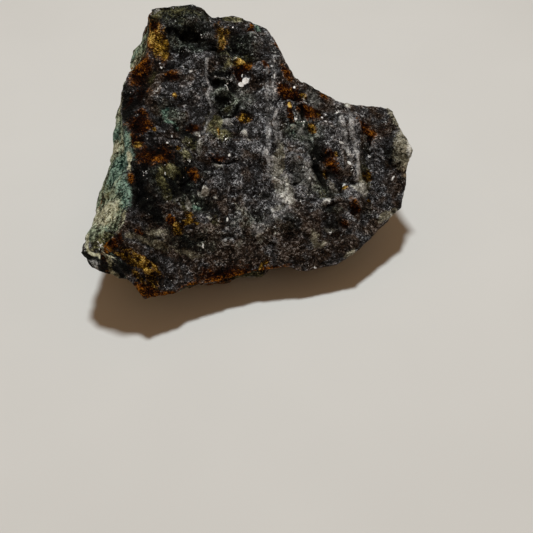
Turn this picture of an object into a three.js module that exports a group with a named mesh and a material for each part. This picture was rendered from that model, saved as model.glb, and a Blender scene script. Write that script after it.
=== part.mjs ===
// A hand specimen of massive copper ore: one broken lump, about 57 mm wide, that lies on a small flat break.
//
// The lump is a slab that slopes to the front. Its top is a rough fracture face inside an irregular edge. The side
// wall falls from that edge to a belt, and from the belt it turns in to the flat break underneath. The left wall is
// a bevel under a mineral crust, and the front is undercut below a thin lip.
//
// Millimetres, +Z up, the front towards -Y. The origin is at the middle of the underside.

import * as THREE from 'three';

// Resolution of the solid: cells along each side of the fracture face's net, and rows down the side wall.
const FACE_CELLS = 36;
const WALL_ROWS = 17;
const BELT_ROW = 7;

// The fracture face: the height at its middle, how much it rises for each millimetre to the right and to the back,
// and how far inwards the edge still lifts or lowers it. Its net closes in on FACE_MIDDLE.
const FACE_HEIGHT = 20;
const FACE_RISE_X = -0.227;
const FACE_RISE_Y = 0.4;
const EDGE_REACH = 6;
const FACE_MIDDLE = [2, -4];

// Edge of the fracture face, anticlockwise from above: x, y and height.
const TOP_EDGE = [
  // toe and low front edge
  [-17.6, -28, 9], [-15.6, -26.7, 8.5], [-13, -25.9, 8], [-11.4, -24.2, 8.2], [-8, -22.7, 7.4], [-5.3, -21.6, 7],
  [0.9, -19.4, 7.2], [6, -18.8, 7.5], [9.2, -18.5, 6.2], [15.2, -16.7, 6.2],
  // right front, climbing to the quartz tip
  [18.2, -15.6, 8], [20.2, -13.2, 8.2], [22.5, -10.5, 8.8], [27, -6.1, 10.2], [27.6, -3.3, 12.5], [27.8, -1, 16],
  [28.7, 0.2, 18.5],
  // right back shoulder
  [27.6, 2.4, 19.5], [26.4, 5.3, 20], [25.4, 9, 20.5], [24.4, 9.6, 21], [17.3, 8.5, 22.5], [14.6, 8.3, 23.5],
  [11.7, 9.9, 24.5], [7, 12.1, 26],
  // slope up to the back, the notch and the knob
  [5.5, 14.6, 27.5], [3.7, 18.4, 29], [1.6, 22, 30], [-1, 22.5, 31], [-4.7, 24, 31.5], [-8.7, 22.5, 32],
  [-10.5, 23.7, 33.5], [-12.1, 23.8, 34], [-16.5, 23, 34], [-19.2, 23.2, 33.5], [-20.7, 22.8, 32.5],
  // left ridge above the bevel
  [-20.2, 19.7, 31], [-20.2, 13.7, 29], [-23.4, 10.8, 27.5], [-24.4, 6.8, 26], [-24.2, 4.1, 25], [-23.1, -0.1, 24],
  [-21.6, -5.9, 22.5], [-21, -12.3, 20.5], [-20.5, -15, 19.5], [-21.2, -19.4, 18.5], [-22.2, -21.2, 18],
  [-23.8, -23.4, 17.5],
  // overhanging lip at the front left, and the drop to the toe
  [-24.4, -24.6, 17.2], [-21.8, -25.8, 16], [-20.5, -26.1, 12.5], [-19, -26.7, 10.5],
];

// Belt of the side wall, anticlockwise from above: x, y and height.
const BELT = [
  // under the toe and the low front edge
  [-17.3, -25, 7.4], [-13.5, -23, 6.2], [-8.5, -20.2, 5.4], [6, -15.8, 5.2], [13, -14.4, 4.6],
  // right side
  [18, -12.4, 5.5], [24.4, -4.4, 7], [26.2, 0, 9], [25, 9.5, 11],
  // back
  [18, 13.8, 12], [5, 21.5, 15.5], [0, 26, 16.5], [-15, 27.6, 19], [-20, 26, 23.5],
  // bevel down the left side
  [-22.1, 24.6, 27.6], [-23.2, 22.7, 26.4], [-24.6, 21.4, 25.4], [-24.3, 14.3, 25.2], [-25.4, 11.4, 24.6],
  [-25.1, 8.3, 24], [-25.8, 4.1, 21.2], [-25.6, -5.1, 17.9], [-26.9, -6.5, 16], [-27.8, -10.9, 13.8],
  [-27.6, -14.6, 13.5], [-28.4, -18.4, 14.2], [-28.1, -22.4, 14.6], [-26.3, -24.5, 13.4],
  // under the lip
  [-24.8, -25.2, 12.7], [-21.9, -25.2, 11.2], [-19.5, -25, 9.5],
];

// Flat break underneath, anticlockwise from above: x and y.
const FOOT = [
  [-19, -10], [-12, -14.5], [7, -11], [15.5, -6.5], [20.5, 1], [18, 9], [4, 18], [-11, 21.5], [-20, 15], [-22, -2],
];
const FOOT_MIDDLE = [-2, 2, 0];

// Relief of the fracture face: middle x and y, half widths along x and y, height (a pit's is negative), and the
// part of the half widths that is flat.
const RELIEF = [
  { name: 'knob', x: -15.5, y: 22, wide: 7.5, deep: 4.2, rise: 1.8, flat: 0.7 },
  { name: 'foot of the knob', x: -13.6, y: 15.8, wide: 4.6, deep: 2, rise: -0.8, flat: 0.1 },
  { name: 'striated block', x: -1.5, y: 17.8, wide: 3.4, deep: 2.8, rise: 1.1, flat: 0.5 },
  { name: 'pit beside the notch', x: -7.5, y: 16.4, wide: 3, deep: 1.9, rise: -1.5, flat: 0.1 },
  { name: 'upper pit', x: -6.4, y: 11.8, wide: 3.4, deep: 2.2, rise: -1.7, flat: 0.1 },
  { name: 'middle pit', x: -5.4, y: 6.1, wide: 3.5, deep: 2.5, rise: -1.8, flat: 0.1 },
  { name: 'dome', x: -6, y: -1, wide: 5.4, deep: 4.2, rise: 1.2, flat: 0.3 },
  { name: 'crack under the dome', x: -6.5, y: -5.6, wide: 4.8, deep: 1.5, rise: -0.8, flat: 0 },
  { name: 'left hollow', x: -19.3, y: -11, wide: 2.8, deep: 4.2, rise: -1.4, flat: 0.1 },
  { name: 'small left pit', x: -12, y: -8.6, wide: 3.1, deep: 2.8, rise: -1.4, flat: 0.1 },
  { name: 'vein crest', x: 5.6, y: -7.4, wide: 2.4, deep: 3.6, rise: 0.8, flat: 0.2 },
  { name: 'dark pit', x: 12.2, y: -1.8, wide: 2.4, deep: 2.8, rise: -1.3, flat: 0.1 },
  { name: 'right lump', x: 16.5, y: 4.6, wide: 5.2, deep: 4.6, rise: 0.9, flat: 0.2 },
  { name: 'low right hollow', x: 14.2, y: -11.1, wide: 4.8, deep: 2.8, rise: -1.3, flat: 0.2 },
  { name: 'corner scoop', x: 22.5, y: -3.4, wide: 3.2, deep: 3.6, rise: -0.9, flat: 0.1 },
];

// Fracture facets: their mean size, how far they step in and out, how steeply they tilt, and how sharp their
// seams are.
const FACETS = [
  { size: 18, step: 0.6, tilt: 0.1, sharp: 40 },
  { size: 9, step: 0.5, tilt: 0.2, sharp: 26 },
  { size: 4.2, step: 0.3, tilt: 0.26, sharp: 20 },
];

// How much of the facets' relief the side wall has at its belt, and how much more between belt, edge and foot.
// The wall above the belt reaches all of it where it is TALL_WALL high.
const BELT_ROUGHNESS = 0.4;
const WALL_ROUGHNESS = 0.8;
const TALL_WALL = 12;

/** A repeatable value from 0 to 1 for a cell of space. */
function cellValue(x, y, z, salt) {
  const wave = Math.sin(x * 127.1 + y * 311.7 + z * 74.7 + salt * 53.3) * 43758.5453;
  return wave - Math.floor(wave);
}

/** How far a point of the surface moves in or out, as flat facets that blend over narrow seams. */
function facetStep(point, { size, step, tilt, sharp }) {
  const [x, y, z] = [point.x / size, point.y / size, point.z / size];
  const facets = [];
  for (let i = Math.floor(x) - 1; i <= Math.floor(x) + 1; i += 1) {
    for (let j = Math.floor(y) - 1; j <= Math.floor(y) + 1; j += 1) {
      for (let k = Math.floor(z) - 1; k <= Math.floor(z) + 1; k += 1) {
        const away = [
          x - i - cellValue(i, j, k, 1),
          y - j - cellValue(i, j, k, 2),
          z - k - cellValue(i, j, k, 3),
        ];
        const lean = [4, 5, 6].map((salt) => 2 * cellValue(i, j, k, salt) - 1);
        const slope = away[0] * lean[0] + away[1] * lean[1] + away[2] * lean[2];
        facets.push({
          distance: away[0] ** 2 + away[1] ** 2 + away[2] ** 2,
          height: step * (2 * cellValue(i, j, k, 7) - 1) + size * tilt * slope,
        });
      }
    }
  }
  const nearest = Math.min(...facets.map(({ distance }) => distance));
  const weights = facets.map(({ distance }) => Math.exp(-sharp * (distance - nearest)));
  const total = weights.reduce((sum, weight) => sum + weight, 0);
  return facets.reduce((sum, { height }, i) => sum + height * weights[i], 0) / total;
}

/** How far all the facets together move a point of the surface. */
function fractureStep(point) {
  return FACETS.reduce((sum, facets) => sum + facetStep(point, facets), 0);
}

/** A closed polyline as a path. */
function closedPath(loop) {
  const points = loop.map((corner) => new THREE.Vector3(...corner));
  const path = new THREE.CurvePath();
  points.forEach((point, i) => path.add(new THREE.LineCurve3(point, points[(i + 1) % points.length])));
  return path;
}

/** A closed polyline's point in the direction of another point, both seen from the origin. */
function towards(loop, target) {
  for (let i = 0; i < loop.length; i += 1) {
    const [ax, ay, az = 0] = loop[i];
    const [bx, by, bz = 0] = loop[(i + 1) % loop.length];
    const sideA = target.x * ay - target.y * ax;
    const sideB = target.x * by - target.y * bx;
    if (sideA <= 0 && sideB > 0 && target.x * ax + target.y * ay > 0) {
      const share = sideA / (sideA - sideB);
      return new THREE.Vector3(ax + share * (bx - ax), ay + share * (by - ay), az + share * (bz - az));
    }
  }
  throw new Error(`no point of the loop lies towards ${target.x}, ${target.y}`);
}

/** Height that the named lumps, ledges and pits add to the fracture face at x, y. */
function reliefAt(x, y) {
  return RELIEF.reduce((sum, { x: midX, y: midY, wide, deep, rise, flat }) => {
    const reach = Math.hypot((x - midX) / wide, (y - midY) / deep);
    return sum + rise * (1 - THREE.MathUtils.smoothstep(reach, flat, 1));
  }, 0);
}

/** Height of the plain slope that the fracture face follows. */
function slopeAt(x, y) {
  return FACE_HEIGHT + FACE_RISE_X * x + FACE_RISE_Y * y;
}

/**
 * A point of the fracture face at x, y: the slope, the lift of the nearby edge, the relief and the facets.
 * Edge points weigh by the cube of their nearness. A straight edge at a distance d then weighs 2 / d ** 2 in all,
 * so the plain slope, which weighs 2 / EDGE_REACH ** 2, has half the say at EDGE_REACH from the edge.
 */
function facePoint(x, y, edge, spacing) {
  const distances = edge.map((point) => Math.hypot(point.x - x, point.y - y));
  const weights = distances.map((distance) => spacing / distance ** 3);
  const total = weights.reduce((sum, weight) => sum + weight, 2 / EDGE_REACH ** 2);
  const lift = edge.reduce((sum, point, i) => sum + weights[i] * (point.z - slopeAt(point.x, point.y)), 0) / total;
  const point = new THREE.Vector3(x, y, slopeAt(x, y) + lift);
  const nearest = Math.min(...distances);
  const relief = reliefAt(x, y) * THREE.MathUtils.smoothstep(nearest, 0, EDGE_REACH / 2);
  point.z += relief + fractureStep(point) * THREE.MathUtils.smoothstep(nearest, 0, EDGE_REACH);
  return point;
}

/** Column and row of each point around a square of cells, anticlockwise from its first corner. */
function squareRing(cells) {
  const steps = Array.from({ length: cells }, (_, i) => i);
  return [
    ...steps.map((i) => [i, 0]),
    ...steps.map((i) => [cells, i]),
    ...steps.map((i) => [cells - i, cells]),
    ...steps.map((i) => [0, cells - i]),
  ];
}

/** Number of a net's vertex. */
function netIndex(column, row) {
  return row * (FACE_CELLS + 1) + column;
}

/** The fracture face as a square net, whose square rings shrink evenly from the edge to the middle. */
function buildFace(edge, edgePath) {
  const half = FACE_CELLS / 2;
  const spacing = edgePath.getLength() / edge.length;
  const middle = new THREE.Vector3(...FACE_MIDDLE);
  const net = [];
  net[netIndex(half, half)] = facePoint(middle.x, middle.y, edge, spacing);
  for (let ring = 1; ring < half; ring += 1) {
    squareRing(2 * ring).forEach(([column, row], i) => {
      const { x, y } = middle.clone().lerp(edgePath.getPoint(i / (8 * ring)), ring / half);
      net[netIndex(column + half - ring, row + half - ring)] = facePoint(x, y, edge, spacing);
    });
  }
  squareRing(FACE_CELLS).forEach(([column, row], i) => {
    net[netIndex(column, row)] = edge[i];
  });
  return net;
}

/** A point of the side wall: straight from the edge to the belt, then straight to the foot, moved out or in. */
function wallPoint(edge, row) {
  const belt = towards(BELT, edge);
  const isUpper = row < BELT_ROW;
  const share = isUpper ? row / BELT_ROW : (row - BELT_ROW) / (WALL_ROWS - BELT_ROW);
  const point = isUpper ? edge.clone().lerp(belt, share) : belt.clone().lerp(towards(FOOT, edge), share);
  const tall = isUpper ? Math.min(1, (edge.z - belt.z) / TALL_WALL) : 1;
  const rough = BELT_ROUGHNESS * (isUpper ? share : 1) + WALL_ROUGHNESS * tall * Math.sin(Math.PI * share);
  const outwards = new THREE.Vector3(point.x, point.y, 0).normalize();
  return point.addScaledVector(outwards, rough * fractureStep(point));
}

/** The lump as one closed body: the net on top, rings down the side wall, and a flat fan underneath. */
function buildLump() {
  const edgePath = closedPath(TOP_EDGE);
  const edge = Array.from({ length: 4 * FACE_CELLS }, (_, i) => edgePath.getPoint(i / (4 * FACE_CELLS)));
  const positions = buildFace(edge, edgePath);
  const triangles = [];

  // Each cell of the net is cut along the diagonal that points to the net's middle.
  for (let row = 0; row < FACE_CELLS; row += 1) {
    for (let column = 0; column < FACE_CELLS; column += 1) {
      const [a, b] = [netIndex(column, row), netIndex(column + 1, row)];
      const [c, d] = [netIndex(column + 1, row + 1), netIndex(column, row + 1)];
      const isLeft = column < FACE_CELLS / 2;
      const isFront = row < FACE_CELLS / 2;
      triangles.push(...(isLeft === isFront ? [[a, b, c], [a, c, d]] : [[a, b, d], [b, c, d]]));
    }
  }

  // Each ring is a list of vertex numbers, from the edge of the face down to the foot.
  let above = squareRing(FACE_CELLS).map(([column, row]) => netIndex(column, row));
  for (let row = 1; row <= WALL_ROWS; row += 1) {
    const below = edge.map((_, i) => positions.length + i);
    positions.push(...edge.map((point) => wallPoint(point, row)));
    below.forEach((a, i) => {
      const [b, c, d] = [below[(i + 1) % below.length], above[(i + 1) % above.length], above[i]];
      const isShorter = positions[a].distanceTo(positions[c]) < positions[b].distanceTo(positions[d]);
      triangles.push(...(isShorter ? [[a, b, c], [a, c, d]] : [[a, b, d], [b, c, d]]));
    });
    above = below;
  }
  const middleIndex = positions.push(new THREE.Vector3(...FOOT_MIDDLE)) - 1;
  above.forEach((index, i) => triangles.push([index, middleIndex, above[(i + 1) % above.length]]));

  const geometry = new THREE.BufferGeometry().setFromPoints(positions);
  geometry.setIndex(triangles.flat());
  geometry.computeBoundingBox();
  const middle = geometry.boundingBox.getCenter(new THREE.Vector3());
  geometry.translate(-middle.x, -middle.y, 0);
  geometry.computeVertexNormals();
  return geometry;
}

const oreMaterial = new THREE.MeshStandardMaterial({
  color: 0x3b3735,
  roughness: 0.7,
  metalness: 0.1,
  flatShading: true,
});
const lump = new THREE.Mesh(buildLump(), oreMaterial);
lump.name = 'ore_specimen';

const group = new THREE.Group();
group.add(lump);

export default group;
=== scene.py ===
import itertools
import math

import bpy
import numpy as np
from mathutils import Matrix, Vector


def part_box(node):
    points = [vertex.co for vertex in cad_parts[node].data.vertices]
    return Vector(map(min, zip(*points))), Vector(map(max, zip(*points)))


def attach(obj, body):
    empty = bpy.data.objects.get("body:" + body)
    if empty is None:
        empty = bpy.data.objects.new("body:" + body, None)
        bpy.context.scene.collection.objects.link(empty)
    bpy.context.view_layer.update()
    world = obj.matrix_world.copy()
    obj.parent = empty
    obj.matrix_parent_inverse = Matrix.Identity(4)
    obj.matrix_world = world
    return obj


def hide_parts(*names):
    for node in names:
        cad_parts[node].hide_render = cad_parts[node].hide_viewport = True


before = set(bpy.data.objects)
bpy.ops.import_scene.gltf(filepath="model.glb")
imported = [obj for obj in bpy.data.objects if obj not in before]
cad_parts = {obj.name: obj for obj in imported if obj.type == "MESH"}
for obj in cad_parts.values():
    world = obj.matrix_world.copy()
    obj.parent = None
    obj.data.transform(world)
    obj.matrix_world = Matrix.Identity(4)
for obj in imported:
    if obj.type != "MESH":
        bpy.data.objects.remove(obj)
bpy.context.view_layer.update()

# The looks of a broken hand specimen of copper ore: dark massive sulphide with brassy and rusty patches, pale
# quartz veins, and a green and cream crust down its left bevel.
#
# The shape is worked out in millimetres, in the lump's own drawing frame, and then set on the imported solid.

MM = 0.001

# ----------------------------------------------------------------------------------------------------
# Driving dimensions of the lump, in millimetres
# ----------------------------------------------------------------------------------------------------

# Resolution: cells along each side of the fracture face's net, and rows down the side wall.
FACE_CELLS = 220
WALL_ROWS = 56
BELT_ROW = 24

# The fracture face: the height at its middle, how much it rises for each millimetre to the right and to the
# back, and how far inwards the edge still lifts or lowers it. Its net closes in on FACE_MIDDLE, and a
# distance from the edge counts as LEAST_DISTANCE or more.
FACE_HEIGHT = 20
FACE_RISE = (-0.227, 0.4)
EDGE_REACH = 6
FACE_MIDDLE = (2, -4)
LEAST_DISTANCE = 1e-6

# Edge of the fracture face, anticlockwise from above: x, y and height.
TOP_EDGE = [
    # toe and low front edge
    (-17.6, -28, 9), (-15.6, -26.7, 8.5), (-13, -25.9, 8), (-11.4, -24.2, 8.2), (-8, -22.7, 7.4),
    (-5.3, -21.6, 7), (0.9, -19.4, 7.2), (6, -18.8, 7.5), (9.2, -18.5, 6.2), (15.2, -16.7, 6.2),
    # right front, climbing to the quartz tip
    (18.2, -15.6, 8), (20.2, -13.2, 8.2), (22.5, -10.5, 8.8), (27, -6.1, 10.2), (27.6, -3.3, 12.5),
    (27.8, -1, 16), (28.7, 0.2, 18.5),
    # right back shoulder
    (27.6, 2.4, 19.5), (26.4, 5.3, 20), (25.4, 9, 20.5), (24.4, 9.6, 21), (17.3, 8.5, 22.5),
    (14.6, 8.3, 23.5), (11.7, 9.9, 24.5), (7, 12.1, 26),
    # slope up to the back, the notch and the knob
    (5.5, 14.6, 27.5), (3.7, 18.4, 29), (1.6, 22, 30), (-1, 22.5, 31), (-4.7, 24, 31.5), (-8.7, 22.5, 32),
    (-10.5, 23.7, 33.5), (-12.1, 23.8, 34), (-16.5, 23, 34), (-19.2, 23.2, 33.5), (-20.7, 22.8, 32.5),
    # left ridge above the bevel
    (-20.2, 19.7, 31), (-20.2, 13.7, 29), (-23.4, 10.8, 27.5), (-24.4, 6.8, 26), (-24.2, 4.1, 25),
    (-23.1, -0.1, 24), (-21.6, -5.9, 22.5), (-21, -12.3, 20.5), (-20.5, -15, 19.5), (-21.2, -19.4, 18.5),
    (-22.2, -21.2, 18), (-23.8, -23.4, 17.5),
    # overhanging lip at the front left, and the drop to the toe
    (-24.4, -24.6, 17.2), (-21.8, -25.8, 16), (-20.5, -26.1, 12.5), (-19, -26.7, 10.5),
]

# Belt of the side wall, anticlockwise from above: x, y and height.
BELT = [
    # under the toe and the low front edge
    (-17.3, -25, 7.4), (-13.5, -23, 6.2), (-8.5, -20.2, 5.4), (6, -15.8, 5.2), (13, -14.4, 4.6),
    # right side
    (18, -12.4, 5.5), (24.4, -4.4, 7), (26.2, 0, 9), (25, 9.5, 11),
    # back
    (18, 13.8, 12), (5, 21.5, 15.5), (0, 26, 16.5), (-15, 27.6, 19), (-20, 26, 23.5),
    # bevel down the left side
    (-22.1, 24.6, 27.6), (-23.2, 22.7, 26.4), (-24.6, 21.4, 25.4), (-24.3, 14.3, 25.2), (-25.4, 11.4, 24.6),
    (-25.1, 8.3, 24), (-25.8, 4.1, 21.2), (-25.6, -5.1, 17.9), (-26.9, -6.5, 16), (-27.8, -10.9, 13.8),
    (-27.6, -14.6, 13.5), (-28.4, -18.4, 14.2), (-28.1, -22.4, 14.6), (-26.3, -24.5, 13.4),
    # under the lip
    (-24.8, -25.2, 12.7), (-21.9, -25.2, 11.2), (-19.5, -25, 9.5),
]

# Flat break underneath, anticlockwise from above: x, y and height.
FOOT = [
    (-19, -10, 0), (-12, -14.5, 0), (7, -11, 0), (15.5, -6.5, 0), (20.5, 1, 0), (18, 9, 0), (4, 18, 0),
    (-11, 21.5, 0), (-20, 15, 0), (-22, -2, 0),
]
FOOT_MIDDLE = (-2, 2, 0)

# Relief of the fracture face: middle x and y, half widths along x and y, height (a pit's is negative), and
# the part of the half widths that is flat.
RELIEF = {
    "knob": (-15.5, 22, 7.5, 4.2, 1.8, 0.7),
    "foot of the knob": (-13.6, 15.8, 4.6, 2, -0.8, 0.1),
    "striated block": (-1.5, 17.8, 3.4, 2.8, 1.1, 0.5),
    "pit beside the notch": (-7.5, 16.4, 3, 1.9, -1.5, 0.1),
    "upper pit": (-6.4, 11.8, 3.4, 2.2, -1.7, 0.1),
    "middle pit": (-5.4, 6.1, 3.5, 2.5, -1.8, 0.1),
    "dome": (-6, -1, 5.4, 4.2, 1.2, 0.3),
    "crack under the dome": (-6.5, -5.6, 4.8, 1.5, -0.8, 0),
    "left hollow": (-19.3, -11, 2.8, 4.2, -1.4, 0.1),
    "small left pit": (-12, -8.6, 3.1, 2.8, -1.4, 0.1),
    "vein crest": (5.6, -7.4, 2.4, 3.6, 0.8, 0.2),
    "dark pit": (12.2, -1.8, 2.4, 2.8, -1.3, 0.1),
    "right lump": (16.5, 4.6, 5.2, 4.6, 0.9, 0.2),
    "low right hollow": (14.2, -11.1, 4.8, 2.8, -1.3, 0.2),
    "corner scoop": (22.5, -3.4, 3.2, 3.6, -0.9, 0.1),
}

# Fracture facets: mean size, how far they step in and out, how steeply they tilt, and how sharp their seams
# are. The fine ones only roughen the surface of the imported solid.
FACETS = [(18, 0.6, 0.1, 40), (9, 0.5, 0.2, 26), (4.2, 0.3, 0.26, 20)]
FINE_FACETS = [(2.4, 0.06, 0.13, 60), (0.9, 0.015, 0.1, 60)]

# Stepped ledges of the fracture: turn of their run from +X in degrees, size, steps for each size, and drop.
# How much longer they are than wide, and the share of a step from which they jump back.
LEDGES = [(4, 3.6, 4, 0.16), (40, 3, 4, 0.12)]
LEDGE_STRETCH = 3
LEDGE_JUMP = 0.75

# How much of the fine relief is left on the lump's edge and on its side wall, and the shares of the way out
# to the edge, and down to the belt, over which it calms down to that.
EDGE_CALM = 0.7
EDGE_CALM_FROM = (0.9, 1)
WALL_CALM = 0.6
WALL_CALM_FROM = (0.1, 0.6)

# Heights over which the fine relief grows from nothing, how much more of it the dark parts have, and rounds
# of smoothing of the normals that it follows.
CLEAR_OF_GROUND = (0.1, 1.5)
DARK_ROUGHER = 0.6
NORMAL_ROUNDS = 4

# Painted shade in hollows and painted light on raised parts: field, rounds of smoothing that they are
# measured from, and depth from low to high.
CAVITY_SHADES = [("narrow_hollow_shade", 5, 0.07), ("wide_hollow_shade", 90, 0.8)]

# Creases of the fracture face from above: points x, y, half width and depth.
CREASES = {
    "under the knob": [(-17.2, 18.8, 0.3, 0.3), (-14.4, 18.5, 0.3, 0.45), (-10.4, 18.8, 0.3, 0.3)],
    "step beside the brass": [(-16.4, 18.4, 0.22, 0.28), (-15.8, 14.6, 0.22, 0.22)],
    "arc under the dome": [
        (-8.2, -2.6, 0.15, 0.17), (-7, -3.9, 0.22, 0.39), (-5.2, -4.7, 0.26, 0.44), (-2.4, -3.4, 0.19, 0.28),
    ],
    "upper pit": [
        (-8.6, 10.6, 0.25, 0.4), (-7.8, 9.7, 0.35, 0.6), (-6.1, 9.2, 0.4, 0.66), (-4.3, 9.7, 0.25, 0.4),
    ],
    "middle pit": [
        (-6.7, 6.9, 0.2, 0.4), (-6.2, 5.9, 0.3, 0.6), (-5.2, 5.3, 0.4, 0.72), (-4.3, 5.5, 0.45, 0.75),
        (-3.6, 6.1, 0.38, 0.6), (-3, 6.7, 0.25, 0.5),
    ],
    "pit above it": [(-7.4, 7.5, 0.2, 0.3), (-6.1, 7.7, 0.22, 0.36), (-5.1, 8.1, 0.15, 0.3)],
    "notch": [(-7.6, 17.4, 0.38, 0.44), (-6.8, 14.8, 0.45, 0.5)],
    "block, upper": [(-5.4, 18.9, 0.11, 0.17), (-1.4, 19.2, 0.11, 0.17)],
    "block, middle": [(-5.2, 17.9, 0.11, 0.19), (-1.2, 18.2, 0.11, 0.17)],
    "block, lower": [(-5, 16.7, 0.15, 0.22), (-1, 17.1, 0.11, 0.17)],
    "block, foot": [(-5.2, 15.2, 0.19, 0.28), (-1.2, 15.5, 0.15, 0.22)],
    "left plate, upper": [(-19, 4.4, 0.15, 0.17), (-15.4, 4.9, 0.19, 0.25), (-12, 4.2, 0.15, 0.17)],
    "left plate, lower": [(-18.6, -1.2, 0.15, 0.17), (-15.4, -1.6, 0.19, 0.28), (-11.6, -2.6, 0.22, 0.28)],
    "left plate, foot": [(-19, -3.4, 0.19, 0.28), (-14.4, -3.7, 0.15, 0.22)],
    "left hollow": [(-20, -9, 0.3, 0.28), (-18.4, -13, 0.38, 0.5), (-19.6, -16.6, 0.3, 0.28)],
    "small left pit": [(-15, -8.9, 0.3, 0.33), (-12.4, -8.4, 0.3, 0.5), (-10.2, -6.4, 0.22, 0.28)],
    "beside the blaze": [(6.8, -5.4, 0.19, 0.33), (8.4, -4.2, 0.22, 0.33)],
    "below the slab": [(10.4, -1.6, 0.3, 0.33), (11.6, -3.4, 0.38, 0.5), (12.8, -5.4, 0.22, 0.28)],
    "right cluster": [(8.2, 6.8, 0.3, 0.33), (8.6, 4.6, 0.3, 0.39)],
    "low right": [(11.8, -8.3, 0.22, 0.28), (14.4, -8.1, 0.3, 0.44), (17, -7.7, 0.22, 0.28)],
    "corner": [(23.6, 1.4, 0.22, 0.33), (26.4, -0.8, 0.22, 0.33)],
    "apron, left": [(-20.4, -20, 0.15, 0.22), (-17, -21.6, 0.19, 0.28), (-13.6, -21.4, 0.15, 0.22)],
    "apron, low": [(-13.4, -18, 0.22, 0.22), (-9.6, -17.6, 0.22, 0.28), (-6.6, -16.2, 0.15, 0.17)],
    "apron, middle": [(-1.4, -10.8, 0.15, 0.17), (-0.4, -8, 0.15, 0.22), (0.8, -5.8, 0.15, 0.17)],
    "apron, right": [(5.6, -11, 0.22, 0.22), (8.2, -12.2, 0.22, 0.22), (9.4, -14.4, 0.22, 0.22)],
    "lip": [(-25.6, -21.4, 0.52, 0.44), (-24.2, -22.3, 0.68, 0.83), (-23, -22.6, 0.38, 0.44)],
}

# A crease this deep takes the full painted shade.
CRACK_SHADE_DEPTH = 0.45

# How far noise of each size bends the minerals' outlines, and jags the creases.
BENDS = [(2.4, 0.3), (1.1, 0.25)]
JAGS = [(2.6, 0.5), (0.9, 0.3)]

# How much of the facets' relief the side wall has at its belt, and how much more between belt, edge and foot.
# The wall above the belt reaches all of it where it is TALL_WALL high.
BELT_ROUGHNESS = 0.4
WALL_ROUGHNESS = 0.8
TALL_WALL = 12

# Repeatable noise: the numbers that turn a cell's place and a salt into a value, and the salts of each use.
HASH_DIRECTION = (127.1, 311.7, 74.7)
HASH_SALT = 53.3
HASH_SCALE = 43758.5453
SEED_SALTS = (1, 2, 3)
LEAN_SALTS = (4, 5, 6)
HEIGHT_SALT = 7
DRIFT_SALTS = (11, 12)
LEDGE_SALTS = (51, 52)
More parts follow.
